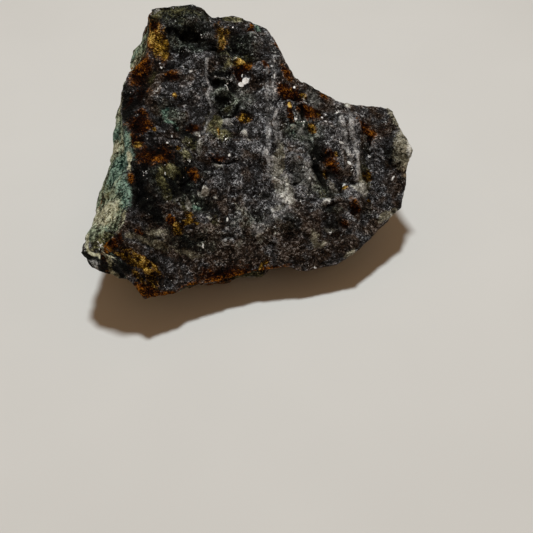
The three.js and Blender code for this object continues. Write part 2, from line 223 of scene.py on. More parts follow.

# ----------------------------------------------------------------------------------------------------
# Where the minerals lie, in millimetres
# ----------------------------------------------------------------------------------------------------

# Oval patches from above: x, y, half length, half width, turn in degrees and strength.
#
# Slab is pale grey rock, buff is pale brown, and teal and chalk are parts of the crust. Other fields only
# shade the dark rock: lilac, umber and sage tint it, dark darkens it, gloom darkens it as painted shade, and
# haze makes it paler. Wisp, streak and striae hold its streaks, and glint holds painted white highlights on
# its brightest cleavage faces.
PATCHES = {
    "brass": [
        # below the knob
        (-19.8, 18, 2.2, 0.7, -82, 0.75), (-18.4, 16.8, 2.3, 0.8, -90, 0.95),
        (-17.2, 16.2, 2, 0.7, -87, 1.05),
        # beside the notch
        (-6.6, 18.8, 2.6, 0.9, -79, 0.78), (-5.5, 20.2, 1.1, 0.5, 87, 0.75), (-2.6, 14.1, 2, 0.45, 14, 0.85),
        (-6.6, 1.3, 1, 0.3, -70, 0.7),
        # middle and right
        (-1.9, 5, 1.3, 0.9, 3, 1), (8.9, 8.7, 0.7, 0.4, -19, 0.95), (10.3, 2.8, 0.8, 0.5, -27, 0.95),
        (11.4, 5.4, 0.5, 0.4, -17, 0.8), (6.5, 6.4, 0.4, 0.3, -6, 0.9), (6.8, 9.6, 0.5, 0.3, -30, 0.7),
        (16.2, -4.9, 0.8, 0.6, -11, 1), (14.9, -0.7, 0.5, 0.3, -61, 0.8), (13.1, -3.3, 0.6, 0.4, -36, 0.8),
        (20.8, -1.1, 0.8, 0.6, -11, 0.9), (20.9, -5.7, 0.4, 0.4, -14, 0.8),
        # left
        (-14.5, 6.1, 0.4, 0.3, -47, 1), (-17.9, -0.9, 0.4, 0.3, -29, 1), (-20.3, -4, 0.6, 0.7, 45, 0.9),
        (-13.3, -3.4, 0.4, 0.3, 12, 1), (-12.4, -16.7, 1.2, 0.7, 56, 1.1), (-11, -15.1, 1.1, 0.5, 36, 1),
        (-9.6, -15.1, 0.4, 0.3, 11, 0.9), (-10.9, -13.9, 0.8, 0.4, 20, 0.8),
        # lip and toe
        (-20, -24.1, 2.6, 0.45, -6, 0.85), (-17.4, -24.3, 2, 0.45, -16, 0.85),
        (-16.6, -25.3, 1.2, 0.35, -20, 0.75), (-18.6, -25.6, 1.2, 0.35, -20, 0.75),
        (-18.4, -23.4, 1.6, 0.3, -6, 0.85), (-16, -23.6, 1.1, 0.3, -14, 0.8),
        (-20.6, -23.1, 1, 0.3, -10, 0.7), (2, -18.5, 1, 0.35, 35, 0.9),
    ],
    "rust": [
        # left edge
        (-21.3, 11.4, 2.8, 1.6, 70, 1.1), (-21.7, 14.3, 2.6, 1.1, -61, 1.1), (-20.8, 6.8, 1.4, 0.8, -70, 0.9),
        (-20.1, 7.4, 1.9, 0.8, -44, 0.75), (-15.4, 10.2, 1.6, 1.1, -20, 1), (-20.2, 2.3, 1.4, 0.8, -6, 0.8),
        (-20.3, 0.4, 2, 1.2, -8, 1.05), (-19.7, -0.9, 1.6, 0.6, 2, 1), (-20.9, -3.2, 2, 1.2, -47, 1),
        (-17.2, -5.7, 3, 1.9, 15, 1), (-21.1, -10.8, 1, 1, 18, 0.9), (-21.2, 22.8, 1, 0.7, 0, 1),
        (-19.4, 18.4, 3, 1.4, -80, 1.1), (-22.2, 16, 2.2, 0.45, 15, 1), (-22.4, 6, 2.6, 0.4, 65, 0.8),
        (-26, -13.2, 1.8, 0.5, -70, 0.72), (-27.1, -10.4, 2.2, 0.25, 80, 0.8),
        (-24, -15.6, 1, 0.5, -70, 0.68),
        # middle
        (-11.1, 1.2, 1.5, 1, -3, 0.9), (-10.4, -6.7, 1.6, 0.9, -48, 0.9), (-2.5, 13.2, 1.8, 0.8, 19, 1),
        (-3, 11.5, 1.6, 0.9, -78, 1), (-8.9, -9.4, 1.6, 0.7, 77, 0.6), (-1.3, 20.8, 1.2, 0.7, -52, 0.9),
        (-1.4, 22.1, 0.5, 0.4, -63, 1), (-6.1, -3.2, 2.6, 0.8, 4, 0.7),
        # right
        (6.2, 9.1, 2.8, 1.3, -18, 1.1), (9.3, 5.5, 1.8, 1, -55, 1), (10.3, 5.4, 1.8, 1.1, -3, 1.1),
        (6.4, 5.2, 1.9, 0.8, -75, 0.8), (12.7, 9, 1, 0.6, -38, 0.8), (19.9, 4.8, 1.3, 1, -2, 0.9),
        (21.1, 3.9, 1.3, 0.9, -13, 1), (22.8, 4.7, 1.3, 1, -2, 0.6), (13.9, -1.8, 1.6, 0.8, -29, 1),
        (13.9, -0.7, 1.7, 0.7, -26, 0.8), (8.5, -1.7, 0.6, 0.3, -3, 0.8), (18.3, -7.9, 1.2, 1.1, -21, 0.9),
        (16.6, -10.4, 1, 0.7, -32, 0.7), (27.5, -1.4, 1.1, 0.9, 0, 0.9), (3.9, 18.6, 1.6, 0.6, -60, 0.95),
        (1.6, 13.6, 1.6, 0.6, -60, 0.8), (5.6, 12.6, 1.8, 0.7, -55, 0.9),
        # front
        (-13.6, -16.3, 1, 0.8, -14, 1), (-18.3, -20, 1, 0.7, -29, 0.9), (-22.9, -23.3, 1.7, 0.7, 56, 1.2),
        (-4.2, -21, 5, 1.3, 16, 1), (3.4, -19, 4.4, 0.5, 8, 0.8), (-10.6, -23.9, 2.6, 0.5, 35, 0.85),
        (-13.6, -25.9, 2.2, 0.5, 20, 0.9), (-17, -26.7, 2, 1, 10, 1.1), (-7.7, -20.8, 1.6, 0.6, 26, 0.7),
        (-21.4, -21.6, 0.8, 0.5, -79, 0.8),
    ],
    "cream": [
        # blaze at the foot of the long vein
        (5.6, -6.4, 2, 1.2, -61, 1.4), (4.5, -5.2, 1, 0.9, 0, 1), (4.3, -9.4, 1.7, 0.8, 22, 0.65),
        (3.9, -3.1, 1.6, 1, 76, 0.9),
        # left
        (-9.7, -1.8, 1, 0.35, -82, 1.1), (-10.3, 0.2, 0.6, 0.3, 26, 0.9), (-11.1, -12.5, 0.9, 0.4, -79, 1),
        (-8.5, -10.4, 1, 0.5, 23, 1), (-6.4, -10.6, 0.5, 0.3, 14, 0.8), (-13, -8.5, 0.5, 0.4, -8, 0.8),
        (-7.7, -14, 0.5, 0.4, 11, 0.8), (-19, 22.8, 0.7, 0.5, 0, 0.8),
        # middle
        (-1.9, 1.2, 2, 0.5, -62, 0.8), (-6.5, -4.5, 1.3, 0.4, -39, 0.7), (-2.3, -16.1, 1.2, 0.3, 56, 0.75),
        (1.4, -14.6, 0.9, 0.4, 43, 0.75), (-2.1, -11.6, 1.3, 0.4, -44, 0.6),
        (-5.3, -15.8, 0.8, 0.5, -29, 0.6), (4, -13.6, 0.5, 0.3, 24, 0.6),
        # right
        (14.5, -4.5, 1.1, 0.7, -56, 0.9), (13, -7.8, 1.1, 0.6, 14, 0.8), (19.3, -4.4, 1.2, 0.8, 4, 1.1),
        (28, 0.6, 1.2, 0.5, -80, 0.8), (19.6, -4.3, 0.8, 0.6, 0, 1), (16.9, 8, 0.8, 0.6, -30, 0.8),
        (19.9, 3.6, 0.5, 0.3, -2, 0.9), (9.1, 7.9, 1.3, 0.4, -81, 0.6), (13.9, -10.7, 1.1, 0.3, -4, 1),
    ],
    "slab": [
        (8.8, -3.8, 2.2, 1.4, -50, 1.1), (10.7, 8.3, 1.8, 1.1, -72, 0.9), (8.4, 2.5, 1.8, 1, -44, 0.7),
        (9.9, -6.4, 1.8, 0.9, 28, 0.6), (15.9, 3.3, 1.7, 1.1, -64, 0.6), (-4.9, 3.5, 1, 0.7, -40, 0.9),
        (-2.6, 8.6, 1.8, 1.1, -30, 0.6), (9.3, 0.2, 1.3, 0.9, -64, 0.6), (-5.5, 22.7, 2, 0.6, 10, 0.6),
        (-25.9, -24.1, 1.2, 0.35, -34, 1),
    ],
    "buff": [
        (27.4, 1, 2.6, 1.5, -75, 1.3), (26.1, 6.6, 2.6, 0.6, -65, 1.2), (19.6, -2.8, 1.3, 0.6, -80, 1),
        (11.3, -13.2, 1.1, 0.7, -69, 1), (12.7, -13.8, 1, 0.5, 30, 0.9), (24.4, -7.9, 2.2, 0.6, 40, 1),
        (17.4, -15.3, 1, 0.5, 20, 0.9), (-16.5, -20.7, 2.6, 0.5, 4, 0.9), (-19.8, -21, 1.2, 0.4, 24, 0.9),
        (-11.2, -19.9, 2.4, 0.4, 12, 0.8), (4.6, -1.8, 2.4, 0.8, 85, 1.15), (-16, -19.2, 2.2, 0.9, 10, 0.75),
        (-2.1, -11.6, 1.3, 0.4, -44, 0.7), (-8.4, 1.6, 1.8, 0.3, 80, 0.8), (16.8, 8.6, 0.9, 0.5, -60, 0.9),
        (-7.4, 17.8, 1.6, 0.2, 80, 0.8),
    ],
    "olive": [
        (-7.2, 2.9, 2.2, 1.3, 80, 1.2), (-5.6, 0.9, 1.5, 0.8, 10, 1.1), (-14.6, -7.8, 2, 0.8, 31, 1),
        (-15.4, -10.2, 1.8, 0.9, -67, 0.85), (-25.6, -9.4, 2.2, 0.9, -75, 1), (-24.4, -21.3, 1.8, 1, 0, 1),
        (-14.5, -11.7, 1.1, 1.1, 28, 0.7), (-11.4, -1.8, 1.4, 0.8, 3, 0.8), (-12, -3.9, 1.4, 0.7, 10, 0.8),
        (-5.2, 6.9, 1, 0.35, 25, 0.9), (-4, 13.6, 2.4, 0.5, 24, 1), (20.2, -1.3, 2.6, 1, -85, 0.9),
        (-21.7, 10, 1.3, 0.8, 21, 0.7), (-18.7, 10.5, 1.2, 0.7, 66, 0.8), (13, -6.3, 1.7, 0.9, -30, 0.6),
        (-6.5, -13.9, 1.5, 0.8, 75, 0.6), (-11.6, -13.1, 0.8, 0.5, -67, 0.8),
        (-19.2, 21.6, 1.4, 1.4, 30, 0.9), (-4.7, 23.2, 1.8, 0.6, -2, 1), (-14.5, 21.6, 5, 1.8, 2, 0.52),
        (-3.4, 14.6, 2.6, 0.7, 8, 0.9),
    ],
    "dark": [
        # left edge and hollow
        (-23.1, 3.9, 3.7, 0.9, -82, 1), (-19.6, -10.6, 2.6, 1, -70, 1), (-18.4, -14, 2.8, 1.5, -45, 1.2),
        (-26.2, -23.9, 2.6, 0.7, -35, 1.2), (-23.4, -20.7, 1, 0.7, 0, 1), (-12.8, -9.9, 2.8, 1.8, -10, 1),
        (-15.9, -16.2, 1.9, 1.1, -25, 0.8), (-14, -6.5, 1, 0.5, 22, 1), (-11.9, -7, 1.9, 0.9, 26, 1),
        (-11.7, -0.6, 2.1, 1, -26, 0.9), (-15.5, -3.2, 1.6, 0.3, 14, 0.8),
        # foot of the knob and the block; the dark under the knob is painted shadow
        (-13.6, 18.9, 3.4, 0.4, 3, 1.1), (-14.6, 17.2, 2, 0.5, -4, 0.8), (-9.6, 19.2, 1.4, 0.4, 30, 1),
        (-7.4, 15.9, 2.8, 1.2, -60, 0.9), (-3.4, 17.6, 2.9, 1.6, -40, 1),
        # pits, darkened as painted shade
        (-6.9, 11.6, 1.8, 0.7, 19, 0.9), (-6.3, 9.5, 2, 0.45, -3, 1.1), (-6.2, 7.6, 1.3, 0.3, 8, 1),
        (-4.5, 5.6, 1.4, 0.45, 8, 1), (-3.2, 6.5, 0.7, 0.4, 60, 1), (8.4, 5.7, 1.2, 0.7, -80, 0.8),
        (11.1, -0.6, 1.9, 1.1, -26, 0.9), (11.9, -3.8, 1.7, 0.9, -52, 1), (7.8, -4.7, 1.1, 0.4, 42, 1),
        (20.4, 2.6, 1.2, 0.5, -19, 0.7), (25.3, 0.7, 2, 0.7, -42, 0.7), (1.9, -7.4, 1.1, 0.6, 13, 0.6),
        # low right and front
        (14.4, -8.8, 2.3, 0.5, 0, 0.7), (14.7, -10.1, 2, 0.6, -2, 0.6), (20.4, -7.7, 2, 1.5, -25, 0.5),
        (6.9, -12, 2.1, 1.1, -3, 0.6), (-10.9, -18.6, 3.5, 1.1, 12, 0.65), (-16.4, -25, 1.4, 0.5, 22, 0.8),
        (-16.1, -23.1, 0.9, 0.4, 38, 0.8),
        # lip
        (-23.7, -22.7, 1.5, 0.9, -45, 1.2), (-25, -21.8, 1.2, 0.9, 0, 0.9),
        (-24.6, -24.7, 3.4, 0.7, -14, 1.2), (-21, -25.6, 1.2, 0.5, 9, 1),
    ],
    "lilac": [
        (-16.7, -2.5, 2.1, 0.9, -17, 1.1), (-11.8, 6.4, 2.7, 1.8, -6, 1), (-12.1, 8.3, 2.1, 0.8, 15, 1),
        (-11.3, 12.8, 2.2, 1.6, -39, 0.8), (-3.9, -1.8, 2.6, 1.5, -15, 0.8), (-8.4, -6.3, 2.1, 1.4, -52, 0.8),
        (1.1, 15.4, 2.5, 1.8, -29, 0.8), (-9.4, 18.8, 0.9, 0.7, -6, 0.9), (0.1, 4.8, 5.1, 2.2, -73, 0.7),
        (15.7, 1.8, 2.6, 1.1, -1, 0.9), (15.5, 6.1, 2, 1.7, -41, 0.8), (16, -6.1, 1.9, 1, -20, 1.1),
        (24.1, -2.5, 1.7, 1.3, 9, 0.7), (9.3, -9.7, 1.7, 1.5, -18, 0.5), (4.6, -14.1, 5, 1.9, 13, 0.4),
        (-13.3, -22.2, 2.6, 0.7, 32, 0.8),
    ],
    "teal": [
        (-16.2, 2.9, 1.2, 0.6, -67, 0.85), (-15, 1.2, 1.3, 0.3, -16, 1), (-0.3, 21.8, 0.8, 0.5, -38, 0.9),
        (-9.9, -12.4, 0.6, 0.3, -14, 1.2), (-15.9, 4, 0.5, 0.3, -73, 1), (-25, 0.5, 1.9, 1, -78, 1),
        (-23.5, -7.2, 2.8, 1.9, 60, 1.15), (-22.4, -3.6, 2.8, 0.8, -80, 1), (-21.9, -13, 2.8, 1, -70, 1.1),
        (-22.6, -24.6, 1.4, 0.15, -20, 0.9), (-23.9, -19.9, 1.4, 0.6, -43, 0.5),
        (7.1, 2.5, 0.7, 0.7, -20, 0.5), (-23.6, 18.6, 1.6, 0.8, 60, 0.7),
    ],
    "wisp": [
        (0, -16.5, 17, 4.2, 10, 1), (-13, -15, 5, 6, 0, 0.9), (20, -9, 6, 3, 40, 0.9), (3, -10, 9, 4, 0, 0.7),
    ],
    "streak": [
        (4, 3, 5, 13, 0, 1), (17.5, 1, 5, 8, 0, 1), (-8, 6, 5, 14, 0, 0.6), (-3, -10, 8, 6, 0, 0.8),
        (12, 4, 4, 6, 0, 0.7),
    ],
    "striae": [
        (-13, 10.7, 5, 6, 0, 0.8), (-14, 3, 5, 5, 0, 0.7), (-2.2, 17, 2.4, 3.2, 0, 1.2),
        (-13, 17, 4.6, 1.8, 0, 1.2), (-6.4, 11.2, 3, 1.8, 0, 1), (-5, 6.4, 3, 1.8, 0, 0.9),
    ],
    "chalk": [
        (-25.2, -2, 1.7, 0.9, -78, 1), (-23.3, -2.7, 2.3, 0.4, -75, 0.8), (-21.5, -7.5, 2.3, 0.4, -87, 1),
        (-25.5, -15.2, 3.6, 1.7, -53, 1.1), (-23.3, -15, 2.3, 0.8, -64, 0.8), (-24.8, -18, 2, 0.6, -20, 0.9),
        (-27.8, -19.4, 1.6, 0.3, -69, 1.2), (-27.4, -21.6, 0.9, 0.22, -55, 1.2),
        (-26.1, -22.8, 1.1, 0.24, -28, 1.2), (-24.6, -24, 1.2, 0.2, -48, 1.1),
        (-22.8, -25.3, 1.1, 0.15, -20, 1), (-21.6, -18.6, 2.4, 0.5, 80, 0.8),
        (-22.6, 14.4, 2.6, 0.4, 56, 1.1), (-23.2, 16, 2.4, 1, 60, 0.6), (-25.9, -10.3, 1.7, 0.7, -73, 0.5),
        (-24.6, 5, 3, 0.6, 90, 0.7),
    ],
    "umber": [
        (-4, -17.4, 15, 4.4, 10, 1), (9, -14, 9, 3.6, 8, 1), (20, -8.5, 5, 3, 40, 0.7),
        (-15, -19.5, 5, 3, 0, 0.9), (8.4, 12, 5, 1.8, -38, 1), (-19, 9, 2.6, 5, 0, 0.8),
        (-15, 4, 5, 4, 0, 0.5), (20, 6, 4, 2.4, 0, 0.6), (-10, -9, 4, 2.4, 30, 0.5),
    ],
    "sage": [
        (8.6, 2.6, 3.4, 1.8, -20, 1), (-4.5, 8, 3.4, 2, 0, 0.9), (-9.9, -12, 2.6, 1.2, 0, 1),
        (-14.5, 21.4, 5, 2, 0, 1), (-13.5, -8.5, 4.5, 3, 20, 0.9), (-13, 18, 4.5, 1, 0, 0.8),
        (1, -12.5, 6, 2, 20, 0.6), (13, -5.5, 3, 1.4, -20, 0.8), (-15, 3, 3, 1.6, -30, 0.9),
        (-3, 17, 3, 2.6, 0, 0.8), (-10, -18, 5, 1.4, 12, 0.7),
    ],
    "haze": [
        (2.6, 0.5, 1.6, 9, 0, 0.7), (1.9, 9, 2.2, 4.5, 0, 0.25), (8.3, -2.5, 2.6, 4, 0, 1.2),
        (11.8, 0.6, 5, 3.4, 0, 0.8), (11.6, -6.3, 4, 2.2, 0, 1.4), (8, 4.2, 3.4, 2, 0, 1),
        (3, -3, 1.8, 2.4, 0, 1), (-7.5, -1.5, 3, 1.5, 0, 0.8), (-1.4, 8.6, 2.6, 1.8, 0, 0.9),
        (20.8, 2, 1.8, 5, 0, 1.3), (22, -1, 3, 4, 0, 0.6), (17.4, -6.2, 2.4, 2.4, 0, 0.7),
        (24.8, -7.4, 1.6, 1.6, 0, 0.6),
    ],
    # Painted shade: broad ovals that darken the rock on the knob's top, in the left hollow and along the
    # front.
    "painted_shade": [
        (-17.8, -11.5, 2.8, 8.5, 0, 1.2), (7, -17, 12, 2.2, 8, 0.9), (20, -10, 4, 2.4, 40, 0.5),
        (-16.7, -22.4, 2.4, 2.4, 0, 0.9), (-7.6, -10, 2.2, 2.8, 0, 0.6), (-15.5, -5.8, 3, 2.4, 0, 1.2),
        (-20.6, 1.5, 1.8, 9, 0, 1.1), (-14.5, 22, 5.5, 1.5, 6, 2.4), (9, 11.5, 5, 1.8, -38, 0.9),
        (-20.5, -5, 2, 6, 0, 0.9), (-10, -18, 4, 1.8, 10, 0.6), (-12.4, 10.8, 5.5, 4.6, 0, 0.8),
        (-4.6, 16, 4, 4, 0, 0.5), (1.5, -11.2, 3.4, 2.2, 0, 1), (-8, -9, 3, 2.4, 0, 0.6),
    ],
    # Painted highlights: small white patches on the brightest cleavage faces.
    "painted_glint": [
        (-2.7, 10.1, 0.48, 0.33, 15, 1.4), (-1.8, 10.9, 0.5, 0.38, 50, 1.4), (-2.3, 11.9, 0.12, 0.3, 10, 1),
        (-5.6, 9.1, 0.15, 0.12, 0, 1), (-5.1, 9.4, 0.17, 0.12, 0, 1), (-5.3, 8.8, 0.14, 0.12, 0, 1),
        (-4.3, -2.6, 0.2, 0.19, 0, 1.1), (-6.6, -7.6, 0.34, 0.22, -20, 1.1),
        (-15.2, -2.9, 0.2, 0.15, 20, 1.1), (-17.4, 12.6, 0.24, 0.22, 0, 1.1), (-10, -0.1, 0.2, 0.2, 0, 1),
        (12.2, 4.8, 0.2, 0.15, 0, 1.1), (13, 5.4, 0.2, 0.15, 0, 1), (15, 6, 0.24, 0.15, 20, 1.1),
        (12.6, 3.6, 0.34, 0.11, -20, 1.1), (14, 3, 0.34, 0.11, -10, 1.1), (15.8, 1.1, 0.48, 0.19, 0, 0.9),
        (17.1, -1.8, 0.25, 0.25, 0, 1.1), (16.3, -4, 0.25, 0.25, 0, 1.1), (7.3, 4.6, 0.25, 0.25, 0, 1),
        (7.4, 10.2, 0.27, 0.15, -40, 1), (3.2, 16.6, 0.27, 0.15, 0, 1), (1.2, 17.4, 0.27, 0.15, 20, 0.9),
        (3.1, 11.7, 0.2, 0.3, 0, 1), (25.4, -2.4, 0.34, 0.15, 20, 1), (-22.6, 21, 0.24, 0.22, 0, 0.9),
        (-12, 10.7, 0.54, 0.11, 30, 1), (-4.4, -13.6, 0.15, 0.3, 0, 1), (-8.4, -18, 0.15, 0.4, 0, 0.9),
        (14.2, -10.9, 0.34, 0.11, -10, 1),
    ],
}

# Veins of quartz from above: points x, y, half width and strength.
VEINS = {
    "long vein": [
        (3.1, 16.5, 0.6, 0.44), (3.2, 11, 0.8, 0.58), (3.1, 6.4, 0.6, 0.95), (4.1, 3.4, 0.5, 1.2),
        (4.8, 0, 0.5, 1.2), (4, -3.2, 1.1, 1.1), (5.5, -6.4, 1.6, 1.2), (4.6, -9.4, 1.2, 0.9),
        (2.6, -11.9, 0.9, 0.75), (0.8, -14, 0.7, 0.75),
    ],
    "thread left of it": [
        (1.8, 13, 0.3, 0.65), (2.3, 8, 0.35, 0.85), (2.6, 3.6, 0.35, 0.95), (2.4, -1, 0.35, 1),
        (2.8, -4.4, 0.4, 1),
    ],
    "right vein": [
        (17.1, 7.6, 0.3, 0.9), (17.6, 4.4, 0.4, 1), (17.7, 2.4, 0.4, 1.1), (18.4, 0.5, 0.28, 1.5),
        (18.7, -1, 0.26, 1.5), (18.9, -3.2, 0.35, 1.4), (19.4, -4.7, 0.7, 1.3),
    ],
    "thread beside it": [
        (15.6, 5.2, 0.3, 1), (16, 3.4, 0.4, 1.1), (16.8, 0.4, 0.35, 1.1), (17.4, -1.8, 0.25, 1),
    ],
    "left thread": [
        (-9, 12.9, 0.2, 1.2), (-8.9, 9.8, 0.25, 1.3), (-8.3, 8.5, 0.3, 1.2), (-8.6, 7.1, 0.2, 1.2),
        (-7.7, 6, 0.3, 1.3), (-8.1, 3.6, 0.25, 1.1), (-9.3, 0.4, 0.2, 1.1),
    ],
}

# Rust rims the brass: its field is the brass's and this much more, but this many times the brass's at most.
RUST_RIM = 0.12
RUST_UNDER_BRASS = 8

# The bevel's crust: shares of the wall over which it starts and ends, distances to the left and to the back
# over which it does, a slanting line that keeps it off the lip, and the dark that breaks through it.
CRUST_TOP = (0.02, 0.25)
CRUST_FOOT = (1.05, 1.4)
CRUST_LEFT = (18.5, 21)
CRUST_BACK = (20, 26)
CRUST_LIP_SLANT = 0.6
CRUST_LIP = (-37.6, -36.6)
CRUST_GAPS = (0.3, 0.6)

# Where soft noise takes over from the named patches: below the belt, and on the wall right of the bevel.
HIDDEN_BELOW = (1, 1.3)
HIDDEN_WALL = (0.1, 0.5)
BEVEL_LEFT = (14, 19)

# The noise of each mineral there: salt, size, and value at its outlines. Those in NEVER_WILD are missing.
WILD = {
    "brass": (31, 5, 0.69), "rust": (32, 7, 0.55), "dark": (33, 6, 0.55), "lilac": (34, 6, 0.5),
    "olive": (35, 4, 0.66), "cream": (36, 3, 0.78), "slab": (37, 4, 0.74), "teal": (38, 5, 0.72),
    "crust": (39, 9, 0.6),
}
WILD_SECOND_SALT = 20
WILD_SHARPNESS = 2.2
NEVER_WILD = ("vein", "chalk", "buff", "painted_glint")

# ----------------------------------------------------------------------------------------------------
# Shape of the lump
# ----------------------------------------------------------------------------------------------------

def smoothstep(values, low, high):
    """0 below low, 1 above high, and 3t^2 - 2t^3 of the share t between them."""
    share = np.clip((values - low) / (high - low), 0, 1)
    return share * share * (3 - 2 * share)


def cell_value(cells, salt):
    """A repeatable value from 0 to 1 for each cell of space: the fraction of a large sine of its place."""
    wave = np.sin(cells @ HASH_DIRECTION + salt * HASH_SALT) * HASH_SCALE
    return wave - np.floor(wave)


def value_noise(points, size, salt):
    """Soft noise from 0 to 1: the eight corner values of each cell of this size, blended with smoothstep."""
    cells = points / size
    corner = np.floor(cells)
    share = smoothstep(cells - corner, 0, 1)
    total = np.zeros(len(points))
    for step in itertools.product((0, 1), repeat=3):
        weight = np.where(step, share, 1 - share).prod(axis=1)
        total += weight * cell_value(corner + step, salt)
    return total


def rough_noise(points, size, salts):
    """Value noise of this size, with a little of a third of the size."""
    return 0.7 * value_noise(points, size, salts[0]) + 0.3 * value_noise(points, size / 3, salts[1])


def facet_step(points, size, step, tilt, sharp):
    """Height of flat facets that blend over narrow seams.

    Each cell of space holds one facet: a seed point, a height and a slope. A point of the surface takes the
    facets' heights weighted by exp(-sharp * squared distance to the seed).
    """
    cells = points / size
    corner = np.floor(cells)
    distances, heights = [], []
    for neighbour in itertools.product((-1, 0, 1), repeat=3):
        cell = corner + neighbour
        away = cells - cell - np.stack([cell_value(cell, salt) for salt in SEED_SALTS], axis=1)
        lean = 2 * np.stack([cell_value(cell, salt) for salt in LEAN_SALTS], axis=1) - 1
        distances.append((away ** 2).sum(axis=1))
        height = step * (2 * cell_value(cell, HEIGHT_SALT) - 1)
        heights.append(height + size * tilt * (away * lean).sum(axis=1))
    distances = np.array(distances)
    weights = np.exp(-sharp * (distances - distances.min(axis=0)))
    return (weights * heights).sum(axis=0) / weights.sum(axis=0)


def facets(points, layers):
    """The heights of several sizes of facets, added up."""
    return sum(facet_step(points, *layer) for layer in layers)


def ledge_step(points, turn, size, steps, drop):
    """Height of thin ledges: noise drawn out along their run sinks slowly, and jumps back in each step."""
    angle = math.radians(turn)
    run = points[:, 0] * math.cos(angle) + points[:, 1] * math.sin(angle)
    across = points[:, 1] * math.cos(angle) - points[:, 0] * math.sin(angle)
    drawn = np.stack([run / LEDGE_STRETCH, across, points[:, 2]], axis=1)
    level = steps * rough_noise(drawn, size, LEDGE_SALTS)
    share = level - np.floor(level)
    return drop * (0.5 - share + smoothstep(share, LEDGE_JUMP, 1))


def along(loop, shares):
    """Points of a closed polyline at shares of its length from 0 to 1."""
    corners = np.array(loop + loop[:1], dtype=float)
    lengths = np.concatenate([[0], np.cumsum(np.linalg.norm(np.diff(corners, axis=0), axis=1))])
    places = shares * lengths[-1]
    return np.stack([np.interp(places, lengths, corners[:, axis]) for axis in range(3)], axis=-1)


def towards(loop, targets):
    """A closed polyline's point in the direction of each target, both seen from above and from the origin.

    The line from the origin to the target crosses the stretch whose ends lie on its two sides, in front.
    """
    starts = np.array(loop, dtype=float)
    ends = np.roll(starts, -1, axis=0)
    x, y = targets[:, :1], targets[:, 1:2]
    side_a = x * starts[:, 1] - y * starts[:, 0]
    side_b = x * ends[:, 1] - y * ends[:, 0]
    is_ahead = x * starts[:, 0] + y * starts[:, 1] > 0
    hit = np.argmax((side_a <= 0) & (side_b > 0) & is_ahead, axis=1)
    row = np.arange(len(targets))
    share = side_a[row, hit] / (side_a[row, hit] - side_b[row, hit])
    return starts[hit] + share[:, None] * (ends[hit] - starts[hit])


def relief(xy):
    """Height that the named lumps, ledges and pits add to the fracture face."""
    total = np.zeros(len(xy))
    for middle_x, middle_y, wide, deep, rise, flat in RELIEF.values():
        reach = np.hypot((xy[:, 0] - middle_x) / wide, (xy[:, 1] - middle_y) / deep)
        total += rise * (1 - smoothstep(reach, flat, 1))
    return total


def net_places():
    """Ring and share of the way round it for each point of the face's square net.

    The rings are squares of cells, counted from the middle. The share is counted anticlockwise from a ring's
    first corner, over its four sides.
    """
    rows, columns = np.mgrid[0:FACE_CELLS + 1, 0:FACE_CELLS + 1]
    across, up = columns - FACE_CELLS // 2, rows - FACE_CELLS // 2
    ring = np.maximum(abs(across), abs(up))
    steps = np.select(
        [up == -ring, across == ring, up == ring],
        [across + ring, 3 * ring + up, 5 * ring - across],
        default=7 * ring - up,
    )
    return ring.ravel(), (steps / np.maximum(8 * ring, 1)).ravel()


def face_points(edge):
    """The fracture face as a square net, whose square rings shrink evenly from the edge to the middle.

    The height is a plain slope, lifted near the edge. Edge points weigh by the cube of their nearness. The
    slope's weight gives it half the say at EDGE_REACH from the edge. Relief and facets fade out at the edge.
    """
    ring, share = net_places()
    outer = along(TOP_EDGE, share)
    shrink = (ring / (FACE_CELLS / 2))[:, None]
    xy = np.array(FACE_MIDDLE) + (outer[:, :2] - FACE_MIDDLE) * shrink
    slope = FACE_HEIGHT + xy @ FACE_RISE

    spacing = np.linalg.norm(np.roll(edge, -1, axis=0) - edge, axis=1).sum() / len(edge)
    edge_lift = edge[:, 2] - FACE_HEIGHT - edge[:, :2] @ FACE_RISE
    total = np.full(len(xy), 2 / EDGE_REACH ** 2)
    lift = np.zeros(len(xy))
    nearest = np.full(len(xy), np.inf)
    for point, rise in zip(edge, edge_lift):
        distance = np.maximum(np.hypot(xy[:, 0] - point[0], xy[:, 1] - point[1]), LEAST_DISTANCE)
        weight = spacing / distance ** 3
        total += weight
        lift += weight * rise
        np.minimum(nearest, distance, out=nearest)

    points = np.column_stack([xy, slope + lift / total])
    points[:, 2] += relief(xy) * smoothstep(nearest, 0, EDGE_REACH / 2) + (
        facets(points, FACETS) * smoothstep(nearest, 0, EDGE_REACH)
    )
    is_edge = ring == FACE_CELLS // 2
    points[is_edge] = outer[is_edge]
    return points


def wall_points(edge):
    """The side wall as rows of points: straight from the edge to the belt, then straight to the foot.

    The facets move each point outwards or inwards, level with the ground.
    """
    belt, foot = towards(BELT, edge), towards(FOOT, edge)
    tall = np.minimum(1, (edge[:, 2] - belt[:, 2]) / TALL_WALL)
    rows = []
    for row in range(1, WALL_ROWS + 1):
        if row < BELT_ROW:
            share = row / BELT_ROW
            points = edge + share * (belt - edge)
            rough = BELT_ROUGHNESS * share + WALL_ROUGHNESS * tall * np.sin(np.pi * share)
        else:
            share = (row - BELT_ROW) / (WALL_ROWS - BELT_ROW)
            points = belt + share * (foot - belt)
            rough = BELT_ROUGHNESS + WALL_ROUGHNESS * np.sin(np.pi * share)
        outwards = points * (1, 1, 0) / np.linalg.norm(points[:, :2], axis=1)[:, None]
        rows.append(points + outwards * (rough * facets(points, FACETS))[:, None])
    return np.concatenate(rows)


def cut_cells(points, a, b, c, d):
    """Two triangles for each cell a, b, c, d, cut along its shorter diagonal."""
    is_shorter = np.linalg.norm(points[a] - points[c], axis=1) < np.linalg.norm(points[b] - points[d], axis=1)
    first = np.where(is_shorter, [a, b, c], [a, b, d])
    second = np.where(is_shorter, [a, c, d], [b, c, d])
    return np.concatenate([first.T, second.T])


